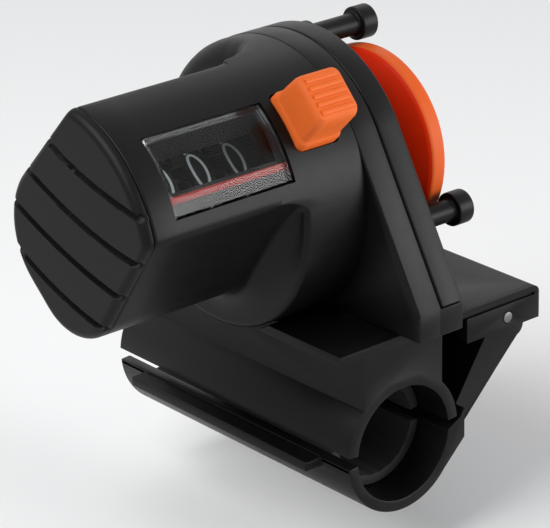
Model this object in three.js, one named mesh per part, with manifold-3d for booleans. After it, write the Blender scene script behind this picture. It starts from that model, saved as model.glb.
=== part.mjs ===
// A clip-on fishing line counter: a rubber-lined clip holds it on the rod, the line turns the orange
// wheel, and a train of gears turns three digit drums behind a curved window.
// Millimetres. X runs along the barrel towards the line wheel, -Y faces the angler, +Z is up.
// The origin is on the rod's centre line, midway along the clip.

import * as THREE from 'three';
import { mergeVertices } from 'three/addons/utils/BufferGeometryUtils.js';
import Module from 'manifold-3d';

const wasm = await Module();
wasm.setup();

// Clearances
const fitGap = 0.3;          // between pieces that seat on each other
const snugGap = 0.1;         // between pressed or clamped pieces, and round a turning pin
const overrun = 1;           // how far a cutting tool runs past the face that it opens
const mergeDistance = 1e-5;  // points closer than this are one point

// Barrel, seen along X: a full round at the wheel end, then a fan that leaves two finger scoops
const barrelRadius = 17.7;
const barrelWall = 1.5;
const fanWall = 1.2;         // thinner wall behind the scoops
const gripRadius = 9.7;      // round behind the drums, about the barrel's axis
const bellyRadius = 8;       // round below, which the front flank runs into
const bellyFront = 2;        // its centre, in front of the axis
const bellyDrop = 4;         // and below it
const fanLow = 13;           // degrees above the front horizontal of the front ridge
const fanHigh = 80;          // the same, of the rear ridge
const roundLength = 9.7;     // full round between the flange and the scoops
const fanLength = 22.5;      // from the scoops' end wall to the end cap

// Wheel-end flange, side cover and foot
const flangeThickness = 3.7;
const coverThickness = 3.6;
const flankSlope = 29.5;     // degrees between the flange's straight edge and the vertical
const coverDrop = 11.3;      // the cover's bottom below the barrel's axis
const footDrop = 15;         // the foot's sole below the barrel's axis
const ledgeLap = 0.2;
const ringHeight = 0.9;      // locating ring inside the cover
const ringWall = 0.8;

// End cap
const capEdge = 1;           // rounding round the cap's face
const capDepth = 1.3;
const capPlate = 1.2;
const plugLength = 1.9;
const capGrooveWidth = 0.9;
const capGrooveDepth = 0.6;
// Ends of the cap's grooves as shares of the barrel's radius: (front, up) of rear end, then front end
const capGrooveShares = [
  [[-0.2, 0.76], [0.9, 0.4]],
  [[-0.42, 0.49], [0.86, 0.06]],
  [[-0.56, 0.18], [0.65, -0.24]],
  [[-0.56, -0.16], [0.38, -0.52]],
];

// Window in the barrel, with angles counted up from the front horizontal
const windowWidth = 17.8;
const windowInset = 1;       // from the scoops' end wall to the window
const windowLow = 20.5;
const windowHigh = 54;
const lensThickness = 0.9;
const lensGap = 0.15;
const bezelFloor = 10.4;     // the bezel's deep edge from the axis
const bezelMargin = 0.9;
const bezelSill = 3.4;       // sill below the clear opening, which carries the red line
const bezelTaper = 6;        // degrees by which the upper wall leans in
const bezelBrow = 1.7;       // degrees of frame above the clear opening
const indexWidth = 1;
const indexGapShares = [0.1, 0.8];  // the line's two faces, as shares of the lens's gap

// Reset button, on a line tilted up from the front horizontal
const buttonTilt = 43;
const buttonRise = 6;        // top face above the barrel
const buttonLength = 6.1;    // along X, at the top
const buttonBreadth = 6.4;
const buttonCorner = 1.1;
const skirtLength = 6.9;
const skirtBreadth = 7.7;
const skirtLip = 0.9;        // height of the lip above the barrel
const skirtLipOut = 0.35;
const buttonRibs = 4;
const buttonRibHeight = 0.35;
const buttonRibWidth = 0.7;
const buttonGap = 0.25;
const buttonTravel = 1.6;
const buttonInset = 4.95;    // from the flange's left face to the button's centre
const buttonSink = 1.1;      // the skirt's underside below the barrel's surface
const stemRadius = 1.2;
const stemFootRadius = 1.7;
const stemFootHeight = 0.6;
const shelfSink = 4.5;       // the spring's shelf below the barrel's surface
const shelfThickness = 0.9;
const shelfBreadth = 6;
const shelfLength = 5.6;

// Line wheel and its shaft
const wheelRadius = 12.75;
const rimOffset = 7.9;       // from the cover's face to the rim
const rimWidth = 2.85;
const rimEdge = 0.5;
const rimWall = 1.5;
const hubRadius = 3.4;
const hubStart = 1.4;        // from the cover's face
const hubEnd = 9.6;
const webStart = 2.4;
const webThickness = 1.7;
const shaftRadius = 1.5;
const shaftEnd = 9.3;
const bushWall = 0.9;
const bushFlange = 0.8;
const bushLip = 0.8;
const journalRadius = 0.6;   // the thin end that carries the drive pinion, and both arbors
const wheelScrewDepth = 4;
const wheelScrewHead = 2.6;

// Guide posts beside the wheel
const postInset = 2.5;       // inside the barrel's radius
const postAngles = { rear: 104, front: -22 };
const postRadius = 1.45;
const postHeadRadius = 2.2;
const postHeadLength = 2.45;
const postHeadEdge = 0.3;
const postLength = 12.1;
const postCollarRadius = 2.1;
const postCollarLength = 2.2;
const postTenonRadius = 1.2;
const postTenon = 2.4;

// Gear train: three steps of five to one, then one to one
const gearModule = 0.35;
const pinionTeeth = 8;
const wheelTeeth = 40;
const linkTeeth = 24;
const gearWidth = 1.2;
const trainStart = 1.3;      // from the cover's inside to the first gear
const trainStep = 2.4;       // from one gear to the next
const linkWidth = 1.7;
const firstAngle = -43;      // where the first arbor stands about the axis
const thirdAngle = 137;
const arborBoss = 1.5;
const arborBossHeight = 0.7;
const toothTipShare = 0.2;   // widths as shares of a tooth's pitch
const toothRootShare = 0.52;
const addendumShare = 0.8;   // heights as shares of the module
const dedendumShare = 1.2;

// Digit drums and their carry
const drumRadius = 8.2;
const drumPitch = 5.6;
const drumShift = 3.2;       // the drums stand this far right of the window's middle
const drumBand = 3.3;
const drumRim = 1.2;
const drumWeb = 1.2;
const drumHub = 2;
const drumAxle = 1.2;
const ringTeeth = 20;
const ringModule = 0.75;
const ringWidth = 0.7;
const ringDepth = 1;         // solid ring below the teeth
const carryDisc = 7.75;
const carryDiscWall = 0.9;
const carryWidth = 0.6;
const carryTeeth = 6;
const carryAngle = 70;
const carryLag = 36;         // degrees from the carry pinion to the carry notches at zero
const camPlane = 2.75;       // middle of the reset cam, from the drum's middle
const camWidth = 0.7;
const camHigh = 4.1;
const camLow = 2.1;

// Movement frame
const framePlate = 1;
const farPlateGap = 0.2;     // from the window's far edge to the far plate
const frameBarRadius = 0.7;
const frameBarInset = 2.9;   // inside the barrel's radius
const frameBarAngles = [76, 16];
const frameScrewInset = 3.9;
const frameScrewAngles = [-45, 143];
const frameScrewLength = 1.2;

// Reset comb
const combInset = 6.4;       // of the comb's bar, inside the barrel's radius
const combAngle = 2;
const combRadius = 0.8;
const fingerWidth = 0.6;
const fingerHeight = 1;
const fingerTip = 5;         // from the drums' axis at rest
const fingerTipAngle = 67;
const armTip = 10.8;
const armWidth = 1.4;

// Screws
const screwRadius = 0.9;
const screwHeadRadius = 1.7;
const screwHeadHeight = 0.9;
const coverScrewLength = 6;
const coverScrewFoot = 7.2;   // of the lower two, inside the foot's end
const coverScrewDrop = 7.5;
const coverScrewInset = 2.7;  // of the top screw, inside the barrel's radius
const coverScrewAngle = 80;
const screwBoss = 1.7;
const screwBossLength = 8;
const baseScrewLeft = 4.5;   // from the cover's face
const baseScrewFoot = 6.7;    // inside the foot's end
const baseScrewSeat = 20;    // head's seat below the barrel's axis
const baseScrewLength = 7.5;

// Rod clip
const rodDrop = 30;          // rod's centre below the barrel's axis
const rodLeft = 6.2;         // rod's centre to the left of the cover's face
const clipHalfLength = 22.8;
const rodHole = 6;           // radius of the pads' groove with the jaws at rest
const padThickness = 1.4;
const padGap = 0.2;
const padHalfLength = 17.5;
const jawWall = 1.5;
const jawSplit = 5;          // degrees from the horizontal to each jaw's lip
const padSplit = 7;
const padFacets = 7;         // odd, so that one facet of each groove faces the rod squarely
const neckHalfWidth = 6.5;
const neckRise = 4.5;        // the neck's underside above the rod's centre
const thumbLip = 2.4;
const thumbLipThickness = 1.4;
const plateThickness = 1.2;
const plateLeft = 16.5;      // from the cover's face
const plateRight = 17.2;
const plateEdge = 1;         // rounding of the plate's right edge, inside the thickness
const clipSkirtDrop = 4.5;
const clipSkirtWall = 1.4;
const clipSkirtLeft = 4.6;   // right of the cover's face
const skirtSlot = 0.4;
const pinRight = 11.7;       // hinge pin, from the cover's face
const pinDrop = 18.3;
const pinRadius = 0.75;
const knuckleRadius = 1.5;
const tailRight = 16.2;
const tailDrop = 22.4;
const tailTop = 19.9;
const tailCorner = 1.6;
const knuckleAngles = [20, 215];
const tailAngles = [-70, 0];
const armAngle = -40;        // where the lower jaw's shell runs into its arm
const armKneeRight = 3.6;    // inside corner of the lower jaw's arm
const armKneeRise = 0.5;     // above the rod's centre
const springZone = 7;        // half the length left free for the spring on the pin
const springZoneWall = 2.6;
const clipWire = 0.28;
const clipCoil = 1.2;
const clipTurns = 8;
const clipLeg = 4.4;
const buttonWire = 0.15;
const buttonCoil = 1.7;
const buttonTurns = 3;

// Fineness of round faces
const sides = { barrel: 40, wheel: 40, drum: 28, hub: 12, pin: 8, screw: 8 };
const coilSteps = 8;

// Places worked out from the sizes above, along X from the side cover's face
const flangeRight = -coverThickness;
const flangeLeft = flangeRight - flangeThickness;
const scoopEnd = flangeLeft - roundLength;
const shoulder = scoopEnd - fanLength;
const boreRadius = barrelRadius - barrelWall;
const roundFloor = scoopEnd + barrelWall;
const nearPlateLeft = roundFloor + fitGap;
const nearPlateRight = nearPlateLeft + framePlate;
const windowRight = scoopEnd - windowInset;
const windowLeft = windowRight - windowWidth;
const farPlateRight = windowLeft - farPlateGap;
const farPlateLeft = farPlateRight - framePlate;
const drumMiddle = (windowLeft + windowRight) / 2 + drumShift;
const drumPlaces = { units: drumMiddle + drumPitch, tens: drumMiddle, hundreds: drumMiddle - drumPitch };
const buttonX = flangeLeft - buttonInset;
const gearDistance = (gearModule * (pinionTeeth + wheelTeeth)) / 2;
const carryDistance = (ringModule * (ringTeeth + carryTeeth)) / 2;
const gearRights = [0, 1, 2].map((step) => flangeRight - trainStart - step * trainStep);
const linkRight = gearRights[2] - gearWidth - 2 * fitGap;
const linkLeft = linkRight - linkWidth;
const plateTop = footDrop + fitGap;
const buttonTop = barrelRadius + buttonRise;
const buttonSeat = barrelRadius - buttonSink;
const shelfTop = barrelRadius - shelfSink;
const postCircle = barrelRadius - postInset;
const frameBarCircle = barrelRadius - frameBarInset;
const frameScrewCircle = barrelRadius - frameScrewInset;
const combCircle = barrelRadius - combInset;
const jawSeat = rodHole + padThickness + padGap;
const jawOuter = jawSeat + jawWall;
const rodCentre = [-rodLeft, -rodDrop];

// Solids

function signedVolume(place, corners) {
  const [a, b, c] = [new THREE.Vector3(), new THREE.Vector3(), new THREE.Vector3()];
  let sum = 0;
  for (let i = 0; i < corners.length; i += 3) {
    a.fromBufferAttribute(place, corners[i]);
    b.fromBufferAttribute(place, corners[i + 1]);
    c.fromBufferAttribute(place, corners[i + 2]);
    sum += a.dot(b.cross(c));
  }
  return sum;
}

// A geometry whose faces close becomes a solid with its faces pointing out.
function solid(geometry) {
  const bare = geometry.clone();
  bare.deleteAttribute('normal');
  bare.deleteAttribute('uv');
  const merged = mergeVertices(bare, mergeDistance);
  const place = merged.getAttribute('position');
  const index = merged.index.array;
  const corners = [];
  for (let i = 0; i < index.length; i += 3) {
    const [a, b, c] = [index[i], index[i + 1], index[i + 2]];
    if (a !== b && b !== c && c !== a) corners.push(a, b, c);
  }
  if (signedVolume(place, corners) < 0) corners.reverse();
  return new wasm.Manifold(new wasm.Mesh({
    numProp: 3,
    vertProperties: new Float32Array(place.array),
    triVerts: new Uint32Array(corners),
  }));
}

function geometryOf(body) {
  const { vertProperties, triVerts } = body.getMesh();
  const geometry = new THREE.BufferGeometry();
  geometry.setAttribute('position', new THREE.BufferAttribute(vertProperties, 3));
  geometry.setIndex(new THREE.BufferAttribute(triVerts, 1));
  geometry.computeVertexNormals();
  return geometry;
}

const join = (...bodies) => bodies.reduce((whole, body) => whole.add(body));
const cut = (body, ...tools) => tools.reduce((rest, tool) => rest.subtract(tool), body);

// Outlines. A point across the barrel is (front, up), where front is -Y.

const toRadians = THREE.MathUtils.degToRad;

function polar(radius, degrees, centre = [0, 0]) {
  const angle = toRadians(degrees);
  return [centre[0] + radius * Math.cos(angle), centre[1] + radius * Math.sin(angle)];
}

function arc(centre, radius, from, to, steps) {
  const step = (to - from) / steps;
  return Array.from({ length: steps + 1 }, (_, i) => polar(radius, from + step * i, centre));
}

const circle = (radius, steps, centre = [0, 0]) => arc(centre, radius, 0, 360, steps).slice(0, -1);

function sector(inner, outer, low, high, centre = [0, 0], steps = 6) {
  return [...arc(centre, outer, low, high, steps), ...arc(centre, inner, high, low, steps)];
}

// A bar with round ends from one point to another.
function capsule(from, to, halfWidth, steps = 5) {
  const heading = THREE.MathUtils.radToDeg(Math.atan2(to[1] - from[1], to[0] - from[0]));
  return [
    ...arc(to, halfWidth, heading - 90, heading + 90, steps),
    ...arc(from, halfWidth, heading + 90, heading + 270, steps),
  ];
}

// Straight-sided teeth round a circle, with one tooth centred at the given angle.
function gearOutline(teeth, module, toothAngle, skip = 1) {
  const pitch = 360 / teeth;
  const root = module * (teeth / 2 - dedendumShare);
  const tip = module * (teeth / 2 + addendumShare);
  const points = [];
  for (let i = 0; i < teeth; i += 1) {
    const middle = toothAngle + i * pitch;
    const [tipHalf, rootHalf] = [(pitch * toothTipShare) / 2, (pitch * toothRootShare) / 2];
    points.push(polar(root, middle - rootHalf));
    if (i % skip === 0) points.push(polar(tip, middle - tipHalf), polar(tip, middle + tipHalf));
    points.push(polar(root, middle + rootHalf));
  }
  return points;
}

// Prisms and turned bodies

const axisX = new THREE.Vector3(1, 0, 0);
const axisY = new THREE.Vector3(0, 1, 0);
const axisZ = new THREE.Vector3(0, 0, 1);

function extruded(outline, holes, depth, across, up, along) {
  const vectors = (points, clockwise) => {
    const list = points.map(([u, v]) => new THREE.Vector2(u, v));
    return THREE.ShapeUtils.isClockWise(list) === clockwise ? list : list.reverse();
  };
  const shape = new THREE.Shape(vectors(outline, false));
  shape.holes = holes.map((hole) => new THREE.Path(vectors(hole, true)));
  const geometry = new THREE.ExtrudeGeometry(shape, { depth, bevelEnabled: false });
  return geometry.applyMatrix4(new THREE.Matrix4().makeBasis(across, up, along));
}

// A prism along X of an outline in (front, up).
function prismX(outline, from, to, holes = []) {
  const turnedRound = (points) => points.map(([front, up]) => [-front, up]);
  const [face, cuts] = [turnedRound(outline), holes.map(turnedRound)];
  return solid(extruded(face, cuts, to - from, axisY, axisZ, axisX).translate(from, 0, 0));
}

// A prism along Y of an outline in (x, z).
function prismY(outline, from, to) {
  const geometry = extruded(outline, [], to - from, axisX, axisZ, axisY.clone().negate());
  return solid(geometry.translate(0, to, 0));
}

function box(x0, x1, y0, y1, z0, z1) {
  const geometry = new THREE.BoxGeometry(x1 - x0, y1 - y0, z1 - z0);
  return solid(geometry.translate((x0 + x1) / 2, (y0 + y1) / 2, (z0 + z1) / 2));
}

// A turned body: its profile is a list of (radius, distance along the axis) that closes on itself.
function turned(profile, steps) {
  const points = [...profile, profile[0]].map(([radius, along]) => new THREE.Vector2(radius, along));
  return new THREE.LatheGeometry(points, steps);
}

const turnedX = (profile, steps) => solid(turned(profile, steps).rotateZ(-Math.PI / 2));
const turnedZ = (profile, steps) => solid(turned(profile, steps).rotateX(Math.PI / 2));
const barX = (radius, from, to, steps, centre) => prismX(circle(radius, steps, centre), from, to);
const barY = (radius, from, to, steps, centre) => prismY(circle(radius, steps, centre), from, to);

// A body through rings of equal point counts, closed by a fan at each end.
function loft(rings) {
  const count = rings[0].length;
  const points = rings.flat();
  const faces = [];
  rings.slice(1).forEach((_, k) => {
    for (let i = 0; i < count; i += 1) {
      const [a, b] = [k * count + i, k * count + ((i + 1) % count)];
      faces.push(a, b, b + count, a, b + count, a + count);
    }
  });
  const addFan = (start, inward) => {
    const middle = new THREE.Vector3();
    for (let i = 0; i < count; i += 1) middle.add(points[start + i]);
    points.push(middle.divideScalar(count));
    for (let i = 0; i < count; i += 1) {
      const edge = [start + i, start + ((i + 1) % count)];
      faces.push(...(inward ? edge.reverse() : edge), points.length - 1);
    }
  };
  addFan(0, true);
  addFan((rings.length - 1) * count, false);
  return solid(new THREE.BufferGeometry().setFromPoints(points).setIndex(faces));
}

// The least gap between turns, measured between points at least half a turn apart.
function leastGap(points, radius) {
  const gaps = points.flatMap((point, i) =>
    points.slice(i + coilSteps / 2 + 1).map((other) => point.distanceTo(other) - 2 * radius));
  return Math.min(...gaps);
}

// A round wire along a list of points.
function wire(points, radius, around = 5) {
  console.log(`least gap between turns: ${leastGap(points, radius).toFixed(2)} mm`);
  const side = new THREE.Vector3(1, 2, 3);
  return loft(points.map((point, i) => {
    const before = points[Math.max(i - 1, 0)];
    const after = points[Math.min(i + 1, points.length - 1)];
    const heading = new THREE.Vector3().subVectors(after, before).normalize();
    side.addScaledVector(heading, -side.dot(heading)).normalize();
    const other = new THREE.Vector3().crossVectors(heading, side);
    return Array.from({ length: around }, (_, k) => {
      const turn = (2 * Math.PI * k) / around;
      return point.clone()
        .addScaledVector(side, radius * Math.cos(turn))
        .addScaledVector(other, radius * Math.sin(turn));
    });
  }));
}

// Pieces

const finish = (color, roughness, metalness = 0) => ({ color, roughness, metalness });
const finishes = {
  black: finish(0x1b1b1c, 0.45),
  orange: finish(0xee5e1e, 0.4),
  cream: finish(0xd8d4c6, 0.5),
  red: finish(0xa03030, 0.5),
  clear: finish(0xdfe6e8, 0.05),
  steel: finish(0xb8babd, 0.3, 1),
  brass: finish(0xb5924c, 0.35, 1),
  rubber: finish(0x242424, 0.9),
};

const head = new THREE.Group();      // everything, placed from the barrel's axis and the cover's face
head.position.set(rodLeft, 0, rodDrop);

function piece(name, body, look, place = [0, 0, 0], group = head) {
  const mesh = new THREE.Mesh(geometryOf(body), new THREE.MeshStandardMaterial(finishes[look]));
  mesh.name = name;
  mesh.position.set(...place);
  group.add(mesh);
}

const across = ([front, up], x = 0) => [x, -front, up];

// Housing: barrel, flange and foot in one shell

// The outermost points of a list, counter-clockwise: a string drawn tight round them.
function tight(points) {
  const turn = (a, b, c) => (b[0] - a[0]) * (c[1] - a[1]) - (b[1] - a[1]) * (c[0] - a[0]);
  const side = (sorted) => {
    const kept = [];
    sorted.forEach((point) => {
      while (kept.length > 1 && turn(kept.at(-2), kept.at(-1), point) <= 0) kept.pop();
      kept.push(point);
    });
    return kept.slice(0, -1);
  };
  const sorted = [...points].sort((a, b) => a[0] - b[0] || a[1] - b[1]);
  return [...side(sorted), ...side([...sorted].reverse())];
}

// The fan's outline, moved in by the inset: an arc between the two ridges, and flat flanks that run
// down to a round behind and a round below. The arc has its own inset, where its wall is thicker.
function fanOutline(inset, arcInset = inset, steps = 10) {
  return tight([
    ...arc([0, 0], barrelRadius - arcInset, fanLow, fanHigh, steps),
    ...circle(gripRadius - inset, sides.barrel),
    ...circle(bellyRadius - inset, sides.barrel, [bellyFront, -bellyDrop]),
  ]);
}

// The wheel end's outline: a round top on straight flanks that spread down to the cover's bottom.
function flangeOutline(drop) {
  const [front, up] = polar(barrelRadius, flankSlope);
  const reach = front + (up + coverDrop) * Math.tan(toRadians(flankSlope));
  const foot = drop > coverDrop ? [[-reach, -drop], [reach, -drop]] : [];
  const top = arc([0, 0], barrelRadius, flankSlope, 180 - flankSlope, 24);
  return [...top, [-reach, -coverDrop], ...foot, [reach, -coverDrop]];
}

const footReach = Math.max(...flangeOutline(coverDrop).map(([front]) => front));
const coverScrewFront = footReach - coverScrewFoot;
const baseScrewOut = footReach - baseScrewFoot;
const coverScrewPlaces = [
  [coverScrewFront, -coverScrewDrop],
  [-coverScrewFront, -coverScrewDrop],
  polar(barrelRadius - coverScrewInset, coverScrewAngle),
];
const frameScrewPlaces = frameScrewAngles.map((angle) => polar(frameScrewCircle, angle));
const baseScrewPlaces = [-baseScrewOut, baseScrewOut].map((y) => [-baseScrewLeft, y]);

// What is square to the button's line is built with Z outwards and then tilted.
const tilt = (body) => solid(geometryOf(body).rotateX(toRadians(90 - buttonTilt)));

function screwHoleZ([x, y], radius, low, high) {
  return solid(new THREE.CylinderGeometry(radius, radius, high - low, sides.screw)
    .rotateX(Math.PI / 2).translate(x, y, (low + high) / 2));
}

function housing() {
  const outside = join(
    barX(barrelRadius, scoopEnd, flangeRight, sides.barrel),
    prismX(fanOutline(0), shoulder, scoopEnd + overrun),
    prismX(flangeOutline(footDrop), flangeLeft, flangeRight),
  );
  const hollow = join(
    barX(boreRadius, roundFloor, flangeRight + overrun, sides.barrel),
    prismX(fanOutline(fanWall, barrelWall), shoulder - overrun, roundFloor + overrun),
  );
  const window = prismX(sector(boreRadius - overrun, barrelRadius + overrun, windowLow, windowHigh),
    windowLeft, windowRight);
  const reach = skirtLength / 2 + buttonGap;
  const breadth = skirtBreadth / 2 + buttonGap;
  const well = tilt(box(buttonX - reach, buttonX + reach, -breadth, breadth, shelfTop, buttonTop));
  const ledge = box(flangeRight - ledgeLap, 0, -footReach, footReach, -footDrop, -coverDrop - snugGap);
  const bossLeft = flangeRight - screwBossLength;
  const boss = barX(screwBoss, bossLeft, flangeRight, sides.hub, coverScrewPlaces[2]);
  const screwRoom = screwRadius + snugGap;
  return cut(
    join(cut(outside, hollow, window, well), ledge, boss),
    ...coverScrewPlaces.map((place) =>
      barX(screwRoom, -coverScrewLength - snugGap, overrun, sides.screw, place)),
    ...frameScrewPlaces.map((place) =>
      barX(screwRoom, roundFloor - frameScrewLength, roundFloor + overrun, sides.screw, place)),
    ...baseScrewPlaces.map((place) =>
      screwHoleZ(place, screwRoom, -footDrop - overrun, baseScrewLength - baseScrewSeat + snugGap)),
  );
}

// Side cover, with bosses for the arbors and a bore for the shaft's bush

function arborPlace(angle) {
  return polar(gearDistance, angle);
}

function sideCover() {
  const left = flangeRight + snugGap;
  const plate = prismX(flangeOutline(coverDrop), left, 0);
  const ringOuter = boreRadius - fitGap;
  const ring = cut(
    barX(ringOuter, left - ringHeight, left, sides.barrel),
    barX(ringOuter - ringWall, left - ringHeight - overrun, left, sides.barrel),
    box(left - ringHeight - overrun, 0, -ringOuter, ringOuter, -barrelRadius, -coverDrop),
    barX(screwBoss + fitGap, left - ringHeight - overrun, left, sides.hub, coverScrewPlaces[2]),
  );
  const bosses = [firstAngle, thirdAngle].map((angle) =>
    barX(arborBoss, left - arborBossHeight, left, sides.hub, arborPlace(angle)));
  const boss = barX(shaftRadius + 2 * bushWall + fitGap, left - arborBossHeight, left, sides.hub);
  const bearing = shaftRadius + snugGap + bushWall + snugGap;
  const [arborRoom, screwRoom] = [journalRadius + snugGap, screwRadius + snugGap];
  const tenonRoom = postTenonRadius + snugGap;
  const far = left - ringHeight - overrun;
  return cut(
    join(plate, ring, boss, ...bosses),
    barX(bearing, far, overrun, sides.hub),
    ...[firstAngle, thirdAngle].map((angle) =>
      barX(arborRoom, far, left + fitGap, sides.pin, arborPlace(angle))),
    ...coverScrewPlaces.map((place) => barX(screwRoom, left - overrun, overrun, sides.screw, place)),
    ...Object.values(postAngles).map((angle) =>
      barX(tenonRoom, -postTenon - snugGap, overrun, sides.pin, polar(postCircle, angle))),
  );
}

// End cap: a domed plate with four finger grooves and a hollow plug

function endCap() {
  const face = shoulder - snugGap;
  const end = shoulder - capDepth;
  const outline = fanOutline(0);
  const shrunk = (inset) => outline.map(([front, up]) => {
    const [away, radius] = [Math.atan2(up, front), Math.hypot(front, up) - inset];
    return [radius * Math.cos(away), radius * Math.sin(away)];
  });
  const ring = (x, inset) => shrunk(inset).map((point) => new THREE.Vector3(...across(point, x)));
  const edge = arc([capEdge, capEdge], capEdge, 180, 270, 3)
    .map(([inset, depth]) => ring(end + depth, inset));
  const plate = loft([ring(face, 0), ...edge]);
  const plug = fanOutline(fanWall + fitGap, barrelWall + fitGap);
  const core = fanOutline(fanWall + fitGap + capPlate, barrelWall + fitGap + capPlate);
  const grooves = capGrooveShares.map((ends) => {
    const [rear, front] = ends.map((shares) => shares.map((share) => share * barrelRadius));
    return prismX(capsule(rear, front, capGrooveWidth / 2), end - overrun, end + capGrooveDepth);
  });
  return cut(join(plate, prismX(plug, face - snugGap, face + plugLength, [core])), ...grooves);
}

// Window: bezel round the well, red index line and clear lens

function bezel() {
  const top = barrelRadius - lensThickness - lensGap;
  const gap = THREE.MathUtils.radToDeg(lensGap / barrelRadius);
  const [low, high] = [windowLow + gap, windowHigh - gap];
  const floor = arc([0, 0], bezelFloor, high - bezelTaper, low, 8);
  const block = [...arc([0, 0], top, low, high, 8), ...floor];
  const sill = windowLow + THREE.MathUtils.radToDeg(bezelSill / barrelRadius);
  const brow = windowHigh - bezelBrow;
  const well = [
    ...arc([0, 0], top + overrun, sill, brow, 6),
    ...arc([0, 0], bezelFloor - overrun, brow - bezelTaper, sill, 6),
  ];
  return cut(
    prismX(block, windowLeft + lensGap, windowRight - lensGap),
    prismX(well, windowLeft + bezelMargin, windowRight - bezelMargin),
  );
}

function indexLine() {
  const seat = barrelRadius - lensThickness - lensGap;
  const high = windowLow + THREE.MathUtils.radToDeg(bezelSill / barrelRadius);
  const low = high - THREE.MathUtils.radToDeg(indexWidth / barrelRadius);
  const [inner, outer] = indexGapShares.map((share) => seat + lensGap * share);
  return prismX(sector(inner, outer, low, high), windowLeft + bezelMargin, windowRight - bezelMargin);
}

function lens() {
  const gap = THREE.MathUtils.radToDeg(lensGap / barrelRadius);
  const [low, high] = [windowLow + gap, windowHigh - gap];
  const outline = sector(barrelRadius - lensThickness, barrelRadius, low, high, [0, 0], 10);
  return prismX(outline, windowLeft + lensGap, windowRight - lensGap);
}

// Reset button, its spring and the comb that it presses

function roundedRing(length, breadth, corner, z) {
  const [u, v] = [length / 2 - corner, breadth / 2 - corner];
  const corners = [[u, v, 0], [-u, v, 90], [-u, -v, 180], [u, -v, 270]];
  return corners.flatMap(([x, y, from]) => arc([x, y], corner, from, from + 90, 3))
    .map(([x, y]) => new THREE.Vector3(x, y, z));
}

function resetButton() {
  const lipTop = barrelRadius + skirtLip;
  const neckLength = skirtLength - 2 * skirtLipOut;
  const neckBreadth = skirtBreadth - 2 * skirtLipOut;
  const shoulderTop = buttonTop - buttonCorner / 2;
  const [topLength, topBreadth] = [buttonLength - buttonCorner / 2, buttonBreadth - buttonCorner / 2];
  const body = loft([
    roundedRing(skirtLength, skirtBreadth, buttonCorner, buttonSeat),
    roundedRing(skirtLength, skirtBreadth, buttonCorner, lipTop - skirtLipOut),
    roundedRing(neckLength, neckBreadth, buttonCorner, lipTop),
    roundedRing(buttonLength, buttonBreadth, buttonCorner, shoulderTop),
    roundedRing(topLength, topBreadth, buttonCorner, buttonTop),
  ]);
  const ribHalf = buttonLength / 2 - buttonCorner / 2;
  const ribStep = (buttonBreadth - buttonCorner) / buttonRibs;
  const ribs = Array.from({ length: buttonRibs }, (_, i) => {
    const middle = (i - (buttonRibs - 1) / 2) * ribStep;
    const half = buttonRibWidth / 2;
    const low = buttonTop - buttonRibHeight;
    return box(-ribHalf, ribHalf, middle - half, middle + half, low, buttonTop + buttonRibHeight);
  });
  const foot = shelfTop - shelfThickness - snugGap;
  const stem = turnedZ([
    [0, foot - stemFootHeight], [stemFootRadius, foot - stemFootHeight], [stemFootRadius, foot],
    [stemRadius, foot], [stemRadius, buttonSeat + overrun], [0, buttonSeat + overrun],
  ], sides.hub);
  return join(body, ...ribs, stem);
}

function helix(radius, low, high, turns) {
  const steps = turns * coilSteps;
  return Array.from({ length: steps + 1 }, (_, i) => {
    const [u, v] = polar(radius, (360 * i) / coilSteps);
    return new THREE.Vector3(u, v, low + ((high - low) * i) / steps);
  });
}

function buttonSpring() {
  const low = shelfTop + snugGap + buttonWire;
  return wire(helix(buttonCoil, low, buttonSeat - snugGap - buttonWire, buttonTurns), buttonWire);
}

// The comb turns on its own bar, so it is built about the bar's centre.
function resetComb() {
  const bar = polar(combCircle, combAngle);
  const from = ([front, up]) => [front - bar[0], up - bar[1]];
  const finger = capsule([0, 0], from(polar(fingerTip, fingerTipAngle)), fingerHeight / 2);
  const arm = capsule([0, 0], from(polar(armTip, buttonTilt)), armWidth / 2);
  const fingers = Object.values(drumPlaces).map((x) =>
    prismX(finger, x - camPlane - fingerWidth / 2, x - camPlane + fingerWidth / 2));
  return join(
    barX(combRadius, farPlateLeft + snugGap, buttonX + armWidth / 2, sides.pin),
    prismX(arm, buttonX - armWidth / 2, buttonX + armWidth / 2),
    ...fingers,
  );
}

// Movement frame: two plates on two bars, with a shelf under the button

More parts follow.
